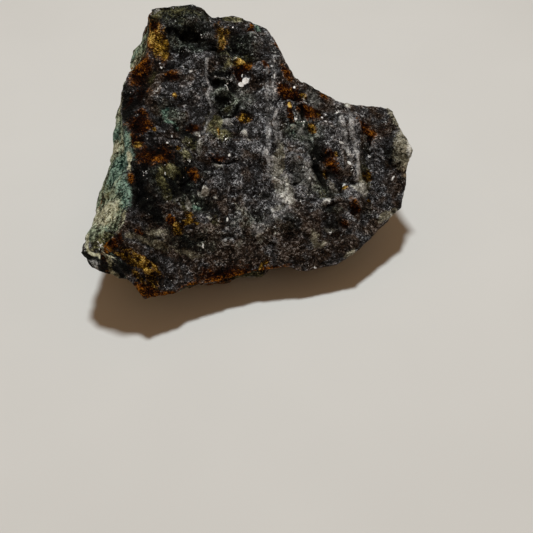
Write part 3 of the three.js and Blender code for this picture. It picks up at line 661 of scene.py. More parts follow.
def lump_triangles(points):
    """Triangles of the closed lump: the face's net, the wall's rows, and a fan underneath."""
    ring, share = net_places()
    count = FACE_CELLS + 1
    cell = (np.arange(FACE_CELLS)[:, None] * count + np.arange(FACE_CELLS)).ravel()
    face = cut_cells(points, cell, cell + 1, cell + count + 1, cell + count)

    edge = np.flatnonzero(ring == FACE_CELLS // 2)
    edge = edge[np.argsort(share[edge])]
    below = count ** 2 + np.arange(WALL_ROWS * len(edge)).reshape(WALL_ROWS, -1)
    rows = np.vstack([edge, below])
    following = np.roll(rows, -1, axis=1)
    corners = rows[1:], following[1:], following[:-1], rows[:-1]
    wall = cut_cells(points, *(corner.ravel() for corner in corners))

    middle = np.full(len(edge), len(points) - 1)
    fan = np.column_stack([rows[-1], middle, following[-1]])
    return np.concatenate([face, wall, fan])


def smoothed(points, triangles, rounds):
    """The points, averaged over the triangles round them again and again."""
    corners = triangles.ravel()
    count = np.bincount(corners, minlength=len(points))[:, None] * 3
    for _ in range(rounds):
        shared = points[triangles].sum(axis=1).repeat(3, axis=0)
        sums = [np.bincount(corners, weights=shared[:, axis], minlength=len(points)) for axis in range(3)]
        points = np.stack(sums, axis=1) / count
    return points


def smooth_normals(points, triangles, rounds):
    """Normals of the points from the triangles round them, by area, averaged again and again."""
    a, b, c = (points[triangles[:, corner]] for corner in range(3))
    areas = np.cross(b - a, c - a)
    normals = np.zeros_like(points)
    for corner in range(3):
        np.add.at(normals, triangles[:, corner], areas)
    for _ in range(rounds):
        normals /= np.linalg.norm(normals, axis=1)[:, None]
        shared = normals[triangles].sum(axis=1)
        normals = np.zeros_like(points)
        for corner in range(3):
            np.add.at(normals, triangles[:, corner], shared)
    return normals / np.linalg.norm(normals, axis=1)[:, None]


# ----------------------------------------------------------------------------------------------------
# Minerals of the lump
# ----------------------------------------------------------------------------------------------------

def patch_field(xy, patches):
    """1 in the middle of the nearest oval patch, 0.5 on its outline, and falling to 0 outside it."""
    field = np.zeros(len(xy))
    for x, y, half_length, half_width, turn, strength in patches:
        angle = np.radians(turn)
        away_x, away_y = xy[:, 0] - x, xy[:, 1] - y
        distance = np.hypot(
            (away_x * np.cos(angle) + away_y * np.sin(angle)) / half_length,
            (away_y * np.cos(angle) - away_x * np.sin(angle)) / half_width,
        )
        np.maximum(field, strength * np.clip(1 - distance / 2, 0, 1), out=field)
    return field


def line_field(xy, line):
    """A line's strength in its middle, half of it at the line's half width, and falling to 0 outside."""
    field = np.zeros(len(xy))
    for start, end in itertools.pairwise(np.array(line)):
        run = end[:2] - start[:2]
        share = np.clip(((xy - start[:2]) @ run) / (run @ run), 0, 1)
        distance = np.linalg.norm(xy - start[:2] - share[:, None] * run, axis=1)
        width, strength = (start[part] + share * (end[part] - start[part]) for part in (2, 3))
        np.maximum(field, strength * np.clip(1 - distance / (2 * width), 0, 1), out=field)
    return field


def drift(points, layers):
    """How far noise of each size moves the points sideways, by up to its reach in x and y."""
    return sum(
        reach * (2 * np.stack([value_noise(points, size, salt) for salt in DRIFT_SALTS], axis=1) - 1)
        for size, reach in layers
    )


def mineral_fields(points, wall_share):
    """How much of each mineral lies at each point, from 0 to 1, with 0.5 at an outline.

    The named patches lie on the face and the bevel. Below the belt, and on the back, soft noise gives them
    instead.
    """
    x, y = points[:, 0], points[:, 1]
    xy = points[:, :2] + drift(points, BENDS)
    fields = {name: patch_field(xy, patches) for name, patches in PATCHES.items()}
    brass = fields["brass"]
    fields["rust"] = np.maximum(fields["rust"], np.minimum(RUST_RIM + brass, RUST_UNDER_BRASS * brass))
    fields["vein"] = np.max([line_field(xy, line) for line in VEINS.values()], axis=0)

    # The bevel's crust covers the wall above the belt on the left side.
    upper = smoothstep(wall_share, *CRUST_TOP) * (1 - smoothstep(wall_share, *CRUST_FOOT))
    is_left = smoothstep(-x, *CRUST_LEFT) * (1 - smoothstep(y, *CRUST_BACK))
    is_left *= smoothstep(y + CRUST_LIP_SLANT * x, *CRUST_LIP)
    fields["crust"] = upper * is_left * (1 - smoothstep(fields["dark"], *CRUST_GAPS))

    right_wall = smoothstep(wall_share, *HIDDEN_WALL) * (1 - smoothstep(-x, *BEVEL_LEFT))
    hidden = np.maximum(smoothstep(wall_share, *HIDDEN_BELOW), right_wall)
    for name, (salt, size, rare) in WILD.items():
        wild = rough_noise(points, size, (salt, salt + WILD_SECOND_SALT))
        fields[name] += hidden * (np.clip(0.5 + WILD_SHARPNESS * (wild - rare), 0, 1) - fields[name])
    for name in NEVER_WILD:
        fields[name] *= 1 - hidden
    return fields


# ----------------------------------------------------------------------------------------------------
# Shader helpers
# ----------------------------------------------------------------------------------------------------

# How much a millimetre of height counts in the streaks, and how much finer their grain is than they are.
STREAK_HEIGHT_SHARE = 0.6
GRAIN_FINENESS = 2.2

# How much a millimetre each way counts in the crevices, which makes them longer along x.
CREVICE_SHARES = (0.6, 1.0, 1.0)


def add(tree, kind, inputs=None, **settings):
    """Adds a node, sets its properties, and fills its inputs with values or with links."""
    made = tree.nodes.new(kind)
    for name, value in settings.items():
        setattr(made, name, value)
    for key, value in (inputs or {}).items():
        if isinstance(value, bpy.types.NodeSocket):
            tree.links.new(value, made.inputs[key])
        else:
            made.inputs[key].default_value = value
    return made


def maths(tree, operation, *values, clamp=False):
    """The result of a Math node."""
    made = add(tree, "ShaderNodeMath", dict(enumerate(values)), operation=operation, use_clamp=clamp)
    return made.outputs[0]


def vectors(tree, operation, *values):
    """The result of a Vector Math node."""
    return add(tree, "ShaderNodeVectorMath", dict(enumerate(values)), operation=operation).outputs[0]


def scaled(tree, vector, scale):
    """A vector times a value."""
    return add(tree, "ShaderNodeVectorMath", {0: vector, "Scale": scale}, operation="SCALE").outputs[0]


def weighed(tree, start, sources, weights):
    """A start value, plus each named source times its weight."""
    total = start
    for name, weight in weights.items():
        total = maths(tree, "MULTIPLY_ADD", sources[name], weight, total)
    return total


def left_of(tree, whole, value, weight=1.0):
    """A whole less a value times its weight."""
    return maths(tree, "MULTIPLY_ADD", value, -weight, whole)


def blend_colours(tree, share, first, second, mode="MIX"):
    """First colour, with the second laid over it by a share from 0 to 1."""
    inputs = {0: share, 6: first, 7: second}
    return add(tree, "ShaderNodeMix", inputs, data_type="RGBA", blend_type=mode).outputs[2]


def blend_values(tree, share, first, second):
    """First value where the share is 0, and the second where it is 1."""
    return add(tree, "ShaderNodeMix", {0: share, 2: first, 3: second}, data_type="FLOAT").outputs[0]


def remap(tree, value, low, high, new_low=0.0, new_high=1.0, kind="LINEAR"):
    """A value moved from one range to another, and held inside it."""
    inputs = {0: value, 1: low, 2: high, 3: new_low, 4: new_high}
    return add(tree, "ShaderNodeMapRange", inputs, interpolation_type=kind).outputs[0]


def ramp(tree, value, stops):
    """A colour for a value, from stops of place and colour."""
    made = add(tree, "ShaderNodeValToRGB", {0: value})
    elements = made.color_ramp.elements
    while len(elements) < len(stops):
        elements.new(0.5)
    for element, (place, colour) in zip(elements, stops):
        element.position = place
        element.color = (*colour, 1)
    return made.outputs[0]


def noise(tree, vector, scale, detail=3.0, roughness=0.6):
    """A Noise texture's value. The scale is the number of features for each unit of the vector."""
    inputs = {"Vector": vector, "Scale": scale, "Detail": detail, "Roughness": roughness}
    return add(tree, "ShaderNodeTexNoise", inputs).outputs[0]


def warped(tree, vector, scale, detail, reach):
    """A place, moved each way by soft noise, up to half its reach in millimetres."""
    bent = add(tree, "ShaderNodeTexNoise", {"Vector": vector, "Scale": scale, "Detail": detail}).outputs[1]
    centred = vectors(tree, "SUBTRACT", bent, (0.5, 0.5, 0.5))
    return vectors(tree, "MULTIPLY_ADD", centred, (reach, reach, reach), vector)


def cells(tree, vector, scale, feature="F1"):
    """The outputs of a Voronoi texture. The scale is the number of cells for each millimetre."""
    return add(tree, "ShaderNodeTexVoronoi", {"Vector": vector, "Scale": scale}, feature=feature).outputs


def thin_line(tree, distance, width):
    """1 on a line, and 0 at its width from it."""
    return maths(tree, "SUBTRACT", 1.0, maths(tree, "DIVIDE", distance, width), clamp=True)


def new_group(name, given, results):
    """An empty node group with the sockets of its input and output nodes.

    Inputs and results are names with a first value each. None stands for a vector.
    """
    group = bpy.data.node_groups.new(name, "ShaderNodeTree")
    for direction, sockets in (("INPUT", given), ("OUTPUT", results)):
        for socket_name, value in sockets.items():
            kind = "NodeSocketVector" if value is None else "NodeSocketFloat"
            socket = group.interface.new_socket(socket_name, in_out=direction, socket_type=kind)
            if value is not None:
                socket.default_value = value
    return group, group.nodes.new("NodeGroupInput").outputs, group.nodes.new("NodeGroupOutput").inputs


def give(group, result, **values):
    """Links the values that a node group puts out, and returns the group."""
    for name, value in values.items():
        group.links.new(value, result[name])
    return group


def use_group(tree, group, inputs):
    """The outputs of a node group placed in a material."""
    return add(tree, "ShaderNodeGroup", inputs, node_tree=group).outputs


def ragged_mask_group():
    """A mineral's field as a mask with a ragged outline: noise moves the outline in and out."""
    group, given, result = new_group(
        "ragged_mask", {"Field": 0.0, "Vector": None, "Scale": 1.5, "Ragged": 0.6, "Softness": 0.08},
        {"Mask": 0.0},
    )
    rough = noise(group, given["Vector"], given["Scale"], detail=4.0, roughness=0.7)
    centred = maths(group, "SUBTRACT", rough, 0.5)
    moved = maths(group, "MULTIPLY_ADD", centred, given["Ragged"], given["Field"])
    low = maths(group, "SUBTRACT", 0.5, given["Softness"])
    high = maths(group, "ADD", 0.5, given["Softness"])
    return give(group, result, Mask=remap(group, moved, low, high, kind="SMOOTHSTEP"))


def crystal_group():
    """Small crystals: each cell has its own tone and turns the surface its own way."""
    group, given, result = new_group(
        "crystals", {"Vector": None, "Scale": 2.0, "Turn": 0.5},
        {"Tone": 0.0, "Share": 0.0, "Normal": None},
    )
    moved = warped(group, given["Vector"], scale=1.3, detail=2.0, reach=0.9)
    crystal = cells(group, moved, given["Scale"])["Color"]
    parts = add(group, "ShaderNodeSeparateColor", {0: crystal}).outputs
    lean = vectors(group, "SUBTRACT", crystal, (0.5, 0.5, 0.5))
    surface = add(group, "ShaderNodeNewGeometry").outputs["Normal"]
    turned = vectors(group, "ADD", scaled(group, lean, given["Turn"]), surface)
    normal = vectors(group, "NORMALIZE", turned)
    return give(group, result, Tone=parts[0], Share=parts[2], Normal=normal)


def streak_group():
    """Thin wiry streaks that run one way over the surface, seen from above, as a mask.

    They follow the lines where noise, drawn out along the run, has its middle value. More noise breaks them
    up. The grain is finer noise, drawn out the same way.
    """
    group, given, result = new_group(
        "streaks",
        {"Vector": None, "Turn": 0.0, "Fineness": 2.0, "Width": 0.04, "Shortness": 0.25},
        {"Mask": 0.0, "Grain": 0.0},
    )
    moved = warped(group, given["Vector"], scale=0.35, detail=3.0, reach=2.6)
    turned = add(
        group, "ShaderNodeVectorRotate", {"Vector": moved, "Angle": given["Turn"]}, rotation_type="Z_AXIS"
    ).outputs[0]
    shares = {"X": given["Shortness"], "Y": 1.0, "Z": STREAK_HEIGHT_SHARE}
    drawn = vectors(group, "MULTIPLY", turned, add(group, "ShaderNodeCombineXYZ", shares).outputs[0])
    rough = noise(group, drawn, given["Fineness"], detail=2.0)
    off_line = maths(group, "ABSOLUTE", maths(group, "SUBTRACT", rough, 0.5))
    gaps = noise(group, given["Vector"], scale=1.3, detail=4.0, roughness=0.75)
    mask = maths(
        group, "MULTIPLY", thin_line(group, off_line, given["Width"]), remap(group, gaps, low=0.38, high=0.58)
    )
    finer = maths(group, "MULTIPLY", given["Fineness"], GRAIN_FINENESS)
    grain = noise(group, drawn, finer, detail=4.0, roughness=0.8)
    return give(group, result, Mask=mask, Grain=remap(group, grain, low=0.3, high=0.7))


def fibre_group():
    """A fine felt of fibres as a mask: the seams between small cells, bent to and fro and broken up."""
    group, given, result = new_group("fibres", {"Vector": None, "Scale": 2.0, "Width": 0.08}, {"Mask": 0.0})
    moved = warped(group, given["Vector"], scale=1.6, detail=3.0, reach=1.6)
    seam = cells(group, moved, given["Scale"], "DISTANCE_TO_EDGE")["Distance"]
    gaps = noise(group, given["Vector"], scale=1.1, detail=4.0, roughness=0.75)
    mask = maths(
        group, "MULTIPLY", thin_line(group, seam, given["Width"]), remap(group, gaps, low=0.42, high=0.6)
    )
    return give(group, result, Mask=mask)


def crevice_group():
    """Crevices' painted shade as a mask: cracks on some seams between cells, the low parts of noise, and
    pits.
    """
    group, given, result = new_group("crevices", {"Vector": None, "Scale": 0.4}, {"Mask": 0.0})
    moved = warped(group, given["Vector"], scale=0.9, detail=4.0, reach=2.4)
    drawn = vectors(group, "MULTIPLY", moved, CREVICE_SHARES)

    def low_part(value, full, none, depth=1.0):
        """As much painted shade as the depth up to the full value, and none from the other value on."""
        return remap(group, value, full, none, depth, 0.0, "SMOOTHSTEP")

    seam = cells(group, drawn, given["Scale"], "DISTANCE_TO_EDGE")["Distance"]
    kept = remap(group, noise(group, given["Vector"], scale=0.33, detail=2.0), low=0.45, high=0.52)
    crack = maths(group, "MULTIPLY", low_part(seam, full=0.015, none=0.06), kept)
    low = low_part(noise(group, drawn, scale=0.85, detail=5.0, roughness=0.72), full=0.36, none=0.43)
    pit = low_part(noise(group, moved, scale=2.4), full=0.36, none=0.41, depth=0.8)
    deep = maths(group, "MAXIMUM", crack, low)
    return give(group, result, Mask=maths(group, "MAXIMUM", deep, pit))


# ----------------------------------------------------------------------------------------------------
# Finish of the ore
# ----------------------------------------------------------------------------------------------------

# Colours of each mineral, from its darkest tone at 0 to its palest at 1.
GREY_TONES = [
    (0.0, (0.001, 0.001, 0.001)), (0.34, (0.0070, 0.0062, 0.0058)), (0.56, (0.0285, 0.0276, 0.0287)),
    (0.74, (0.069, 0.070, 0.0765)), (0.9, (0.16, 0.166, 0.182)), (1.0, (0.5, 0.51, 0.54)),
]
GREEN_TONES = [
    (0.0, (0.001, 0.001, 0.001)), (0.34, (0.006, 0.007, 0.006)), (0.6, (0.025, 0.030, 0.023)),
    (0.8, (0.078, 0.094, 0.076)), (1.0, (0.33, 0.38, 0.32)),
]
BROWN_TONES = [
    (0.0, (0.001, 0.0006, 0.0003)), (0.34, (0.009, 0.0048, 0.0024)), (0.6, (0.034, 0.021, 0.0137)),
    (0.8, (0.08, 0.0595, 0.0475)), (1.0, (0.31, 0.27, 0.245)),
]
RUST_TONES = [
    (0.0, (0.001, 0.0003, 0.0001)), (0.35, (0.0045, 0.0009, 0.0001)), (0.6, (0.017, 0.0031, 0.0003)),
    (0.8, (0.062, 0.0145, 0.0008)), (1.0, (0.33, 0.12, 0.01)),
]
BRASS_TONES = [
    (0.0, (0.003, 0.0015, 0.0005)), (0.3, (0.014, 0.006, 0.001)), (0.52, (0.105, 0.052, 0.003)),
    (0.74, (0.36, 0.195, 0.012)), (1.0, (0.9, 0.66, 0.2)),
]
CREAM_TONES = [
    (0.0, (0.034, 0.030, 0.024)), (0.35, (0.125, 0.118, 0.098)), (0.65, (0.37, 0.365, 0.325)),
    (1.0, (0.88, 0.88, 0.84)),
]
VEIN_TONES = [
    (0.0, (0.016, 0.016, 0.017)), (0.35, (0.085, 0.083, 0.085)), (0.65, (0.27, 0.27, 0.275)),
    (1.0, (0.74, 0.74, 0.75)),
]
SLAB_TONES = [
    (0.0, (0.006, 0.007, 0.007)), (0.45, (0.08, 0.081, 0.076)), (0.75, (0.19, 0.192, 0.182)),
    (1.0, (0.45, 0.45, 0.44)),
]
BUFF_TONES = [
    (0.0, (0.045, 0.036, 0.022)), (0.4, (0.112, 0.098, 0.064)), (0.7, (0.22, 0.204, 0.146)),
    (1.0, (0.46, 0.44, 0.34)),
]
OLIVE_TONES = [
    (0.0, (0.003, 0.003, 0.001)), (0.45, (0.054, 0.050, 0.018)), (0.75, (0.18, 0.172, 0.074)),
    (1.0, (0.44, 0.43, 0.23)),
]
CHALK_TONES = [
    (0.0, (0.015, 0.010, 0.004)), (0.25, (0.06, 0.05, 0.022)), (0.5, (0.19, 0.18, 0.10)),
    (0.75, (0.38, 0.37, 0.23)), (1.0, (0.64, 0.64, 0.48)),
]
TEAL_TONES = [
    (0.0, (0.002, 0.008, 0.007)), (0.4, (0.012, 0.038, 0.030)), (0.7, (0.058, 0.125, 0.096)),
    (1.0, (0.28, 0.42, 0.34)),
]
CRUST_TONES = [
    (0.0, (0.004, 0.005, 0.003)), (0.35, (0.024, 0.030, 0.017)), (0.65, (0.098, 0.122, 0.076)),
    (1.0, (0.38, 0.44, 0.31)),
]

# Each mineral that is laid over the dark rock: tones, scale and raggedness of its outline, softness, and how
# much of the rock it hides. Those in RIDGED belong to the crust, and have its soft ridges.
LAYERS = {
    "crust": (CRUST_TONES, 1.4, 0.7, 0.1, 1.0),
    "olive": (OLIVE_TONES, 1.6, 1.1, 0.2, 0.75),
    "rust": (RUST_TONES, 1.6, 0.9, 0.14, 1.0),
    "brass": (BRASS_TONES, 2.4, 1.0, 0.14, 0.95),
    "slab": (SLAB_TONES, 1.2, 0.8, 0.15, 0.85),
    "teal": (TEAL_TONES, 1.5, 0.9, 0.2, 0.9),
    "chalk": (CHALK_TONES, 1.4, 1.1, 0.15, 1.0),
    "vein": (VEIN_TONES, 1.2, 0.9, 0.3, 0.85),
    "buff": (BUFF_TONES, 1.6, 0.9, 0.2, 0.85),
    "cream": (CREAM_TONES, 1.6, 1.0, 0.12, 0.9),
}
RIDGED = ("crust", "chalk", "teal")

# Crystals, as cells for each millimetre, and how far they turn the surface.
FINE_CRYSTALS = {"Scale": 4.5, "Turn": 1.3}
COARSE_CRYSTALS = {"Scale": 1.1, "Turn": 0.5}

# Streaks over the rock: the field that holds them, turn from +X in degrees, fineness, width, shortness and
# strength. How ragged and soft the ends of their fields are.
STREAKS = [
    ("wisp", 38, 2.6, 0.07, 0.15, 0.55),
    ("streak", 84, 2.2, 0.06, 0.16, 0.5),
    ("striae", 4, 2.4, 0.07, 0.15, 0.65),
]
STREAK_REACH = (0.5, 0.8, 0.3)

# Hairs all over the rock, the felt of fibres between them, and the soft ridges of the crust.
HAIRS = {"Turn": 0.3, "Fineness": 2.6, "Width": 0.07, "Shortness": 0.35}
FELT = {"Scale": 2.4, "Width": 0.09}
RIDGES = {"Turn": 1.5, "Fineness": 0.9, "Width": 0.1, "Shortness": 0.2}

# Tone of the dark rock: where it starts, and how much each thing adds to it. Hollow paints shade into the
# hollows and light onto raised parts, and gloom paints shade over broad parts.
ROCK_START = -0.31
ROCK_TONE = {
    "crystal": 0.43, "fleck": 0.08, "large crystal": 0.04, "grain": 0.46, "mottle": 0.1, "hollow": 0.34,
    "hair": 0.5, "haze": 0.14, "painted_shade": -0.18, "streaks": 1.0, "lilac": 0.02, "dark": -0.42,
}

# Tone of the minerals on it: how much each thing adds, and then the contrast and the shift of the sum.
# Here too hollow paints shade into hollows and light onto raised parts, and gloom paints shade.
PATCH_TONE = {
    "crystal": 0.3, "grain": 0.5, "large crystal": 0.1, "fleck": 0.06, "hollow": 0.4, "hair": 0.24,
    "painted_shade": -0.06,
}
PATCH_CONTRAST = (1.6, -0.61)
RIDGE_TONE = (0.8, -0.1)

# How far the grain moves the minerals' outlines: its share, and a shift.
GRAIN_BITE = (0.36, -0.18)

# Raggedness of the masks that aren't minerals: scale, raggedness and softness.
CRACK_SHADE_EDGE = (2.2, 0.6, 0.2)
LILAC_EDGE = (0.8, 0.9, 0.3)
DARK_EDGE = (1.0, 0.9, 0.3)
SAGE_EDGE = (0.8, 0.9, 0.3)
PAINTED_GLINT_EDGE = (2.2, 1.0, 0.05)

# Tints of the dark rock: how far umber adds to the noise that browns it, the values over which it turns
# brown, how much less of it lilac rock takes, and how green dark hollows are.
UMBER_WEIGHT = 0.19
BROWN_FROM = (0.51, 0.64)
LILAC_KEEPS = 0.6
DARK_GREEN = 0.8

# The shares over which a crystal turns into a fleck, or takes a painted white highlight, and the noise over
# which those painted highlights stand in clusters and the tone is mottled.
FLECKS_FROM = (0.72, 0.76)
PAINTED_GLINTS_FROM = (0.86, 0.87)
CLUSTERS_FROM = (0.61, 0.63)
MOTTLE_FROM = (0.38, 0.62)

# What each thing adds to the painted shade of the hollows, and to the bump, and the bump's depth in
# millimetres.
HOLLOW_SHADE_SHARES = {"narrow": 0.3, "wide": 0.7}
BUMP_HEIGHT = {"crystal": 0.2, "grain": 0.3, "crevice": -0.8}
BUMP_DEPTH = 0.2

# Colour of the painted white highlights, the dark colour of the painted shade in crevices, how much of it
# they take, and how much less if pale.
PAINTED_GLINT_COLOUR = (1, 1, 1, 1)
CREVICE_SHADE_COLOUR = (0.06, 0.05, 0.04, 1)
CREVICE_SHADE_DEPTH = 0.9
PALE_KEEPS = 0.6

# Roughness of the rock, of its shiny crystals, and of the pale, coloured and chalky minerals over it.
ROCK_ROUGHNESS = 0.6
SHINY_ROUGHNESS = 0.16
PALE_ROUGHNESS = 0.35
COLOURED_ROUGHNESS = 0.7
CHALKY_ROUGHNESS = 0.9
COLOURED_METALLIC = 0.4
SPECULAR = 0.06


def ore_material():
    """The whole specimen's finish: fine dark crystals under patches of each mineral.

    A field of each mineral comes from the mesh, and ragged noise turns it into a mask. Tones vary from
    crystal to crystal, hollows take painted shade and raised parts painted light, crevices take painted
    shade, and small cleavage faces take painted white highlights.
    """
    material = bpy.data.materials.new("broken_copper_ore")
    material.use_nodes = True
    tree = material.node_tree
    tree.nodes.clear()
    ragged, streaks, crystals = ragged_mask_group(), streak_group(), crystal_group()
    place = add(tree, "ShaderNodeTexCoord").outputs["Object"]
    vector = scaled(tree, place, 1 / MM)

    def most(first, second):
        """The larger value."""
        return maths(tree, "MAXIMUM", first, second)

    def times(first, second):
        """The product of two values."""
        return maths(tree, "MULTIPLY", first, second)

    def field(name):
        """A field of the mesh."""
        return add(tree, "ShaderNodeAttribute", attribute_name=name).outputs["Fac"]

    def mask(name, scale, raggedness, softness, bite=None):
        """A field's ragged mask, whose outline the bite moves."""
        edge = field(name) if bite is None else maths(tree, "ADD", field(name), bite)
        inputs = {"Field": edge, "Vector": vector, "Scale": scale, "Ragged": raggedness, "Softness": softness}
        return use_group(tree, ragged, inputs)["Mask"]

    # Crystals, hollows and crevices. Hollows and crevices carry painted shade.
    fine = use_group(tree, crystals, {"Vector": vector, **FINE_CRYSTALS})
    coarse = use_group(tree, crystals, {"Vector": vector, **COARSE_CRYSTALS})
    flecks = remap(tree, fine["Share"], *FLECKS_FROM)
    crevices = use_group(tree, crevice_group(), {"Vector": vector})["Mask"]
    # The crevices and the creases' cracks, as a mask for painted shade and for the bump.
    crevice = most(crevices, mask("crack", *CRACK_SHADE_EDGE))
    hollows = {"narrow": field("narrow_hollow_shade"), "wide": field("wide_hollow_shade")}
    hollow = weighed(tree, 0.0, hollows, HOLLOW_SHADE_SHARES)

    # Hairs and fibres all over, and streaks where their fields hold them.
    hairs = use_group(tree, streaks, {"Vector": vector, **HAIRS})
    felt = use_group(tree, fibre_group(), {"Vector": vector, **FELT})["Mask"]
    grain, lines = hairs["Grain"], 0.0
    for name, turn, fineness, width, shortness, strength in STREAKS:
        drawn = use_group(tree, streaks, {
            "Vector": vector, "Turn": -math.radians(turn), "Fineness": fineness, "Width": width,
            "Shortness": shortness,
        })
        reach = mask(name, *STREAK_REACH)
        grain = blend_values(tree, reach, grain, drawn["Grain"])
        lines = maths(tree, "MULTIPLY_ADD", times(drawn["Mask"], reach), strength, lines)

    # The dark rock: grey, and brown or green in parts.
    mottle = remap(tree, noise(tree, vector, scale=0.36, roughness=0.55), *MOTTLE_FROM)
    lilac, dark = mask("lilac", *LILAC_EDGE), mask("dark", *DARK_EDGE)
    sources = {
        "crystal": fine["Tone"], "fleck": flecks, "large crystal": coarse["Tone"], "grain": grain,
        "mottle": mottle, "hollow": hollow, "hair": most(hairs["Mask"], felt), "haze": field("haze"),
        "painted_shade": field("painted_shade"), "streaks": lines, "lilac": lilac, "dark": dark, "crevice": crevice,
    }
    tone = maths(tree, "MAXIMUM", weighed(tree, ROCK_START, sources, ROCK_TONE), 0.0, clamp=True)
    clouds = noise(tree, vector, scale=0.34, roughness=0.55)
    umber = maths(tree, "MULTIPLY_ADD", field("umber"), UMBER_WEIGHT, clouds)
    brown = times(remap(tree, umber, *BROWN_FROM), left_of(tree, 1.0, lilac, LILAC_KEEPS))
    green = most(times(dark, DARK_GREEN), mask("sage", *SAGE_EDGE))
    colour = blend_colours(tree, brown, ramp(tree, tone, GREY_TONES), ramp(tree, tone, BROWN_TONES))
    colour = blend_colours(tree, green, colour, ramp(tree, tone, GREEN_TONES))

    # The minerals on it.
    patch_tone = maths(tree, "MULTIPLY_ADD", weighed(tree, 0.0, sources, PATCH_TONE), *PATCH_CONTRAST)
    ridges = use_group(tree, streaks, {"Vector": vector, **RIDGES})["Mask"]
    crust_tone = maths(tree, "ADD", maths(tree, "MULTIPLY_ADD", ridges, *RIDGE_TONE), patch_tone)
    bite = maths(tree, "MULTIPLY_ADD", grain, *GRAIN_BITE)
    masks = {}
    for name, (tones, scale, raggedness, softness, cover) in LAYERS.items():
        masks[name] = times(mask(name, scale, raggedness, softness, bite), cover)
        layer_tone = crust_tone if name in RIDGED else patch_tone
        colour = blend_colours(tree, masks[name], colour, ramp(tree, layer_tone, tones))
    pale = most(masks["vein"], masks["cream"])
    chalky = most(masks["crust"], masks["chalk"])
    coloured = most(masks["brass"], masks["rust"])
    # Painted shade: crevices and deep creases are darkened with a dark colour multiplied in.
    depth = times(crevice, left_of(tree, CREVICE_SHADE_DEPTH, pale, PALE_KEEPS))
    colour = blend_colours(tree, depth, colour, CREVICE_SHADE_COLOUR, "MULTIPLY")

    # Painted highlights: white laid on cleavage faces that glint, on some crystals in clusters where the bare
    # rock is grey, and on the named ones.
    bare = left_of(tree, 1.0, most(chalky, crevice))
    clusters = remap(tree, noise(tree, vector, scale=0.5, detail=4.0, roughness=0.7), *CLUSTERS_FROM)
    painted_glint = times(remap(tree, fine["Share"], *PAINTED_GLINTS_FROM), clusters)
    painted_glint = times(painted_glint, maths(tree, "SUBTRACT", 1.0, field("umber"), clamp=True))
    painted_glint = times(painted_glint, maths(tree, "SUBTRACT", bare, coloured, clamp=True))
    painted_glint = most(painted_glint, mask("painted_glint", *PAINTED_GLINT_EDGE))
    colour = blend_colours(tree, painted_glint, colour, PAINTED_GLINT_COLOUR)

    roughness = ROCK_ROUGHNESS
    for share, value in (
        (times(flecks, bare), SHINY_ROUGHNESS), (pale, PALE_ROUGHNESS), (coloured, COLOURED_ROUGHNESS),
        (chalky, CHALKY_ROUGHNESS),
    ):
        roughness = blend_values(tree, share, roughness, value)

    height = weighed(tree, 0.0, sources, BUMP_HEIGHT)
    bump = add(tree, "ShaderNodeBump", {
        "Strength": 1.0, "Distance": BUMP_DEPTH * MM, "Height": height, "Normal": fine["Normal"],
    })
    surface = add(tree, "ShaderNodeBsdfPrincipled", {
        "Base Color": colour, "Roughness": roughness, "Metallic": times(coloured, COLOURED_METALLIC),
        "Specular IOR Level": SPECULAR, "Normal": bump.outputs[0],
    })
    add(tree, "ShaderNodeOutputMaterial", {0: surface.outputs[0]})
    return material


# ----------------------------------------------------------------------------------------------------
# Pieces
# ----------------------------------------------------------------------------------------------------

def fine_relief(points, wall_share, fields):
    """How far fine facets, ledges and creases lift each point, and how much painted shade the creases get
    there.

    The ledges run level, and slope where the wisps lie. A crease sinks as the square of its line's field. The
    relief is calmer on the edge and the side wall, and stops at the ground.
    """
    level, sloping = (ledge_step(points, *ledge) for ledge in LEDGES)
    fine = facets(points, FINE_FACETS) + level + fields["wisp"] * (sloping - level)
    jagged = points[:, :2] + drift(points, JAGS)
    creases = np.sum([line_field(jagged, line) ** 2 / line[0][3] for line in CREASES.values()], axis=0)
    creases *= wall_share == 0
    ring, _ = net_places()
    calm = np.where(
        wall_share > 0,
        EDGE_CALM + (WALL_CALM - EDGE_CALM) * smoothstep(wall_share, *WALL_CALM_FROM),
        1 - (1 - EDGE_CALM) * smoothstep(np.resize(ring / ring.max(), len(points)), *EDGE_CALM_FROM),
    )
    stands_clear = smoothstep(points[:, 2], *CLEAR_OF_GROUND)
    fine = (fine - creases) * (stands_clear * calm * (1 + DARK_ROUGHER * fields["dark"]))
    return fine, np.clip(creases / CRACK_SHADE_DEPTH, 0, 1)


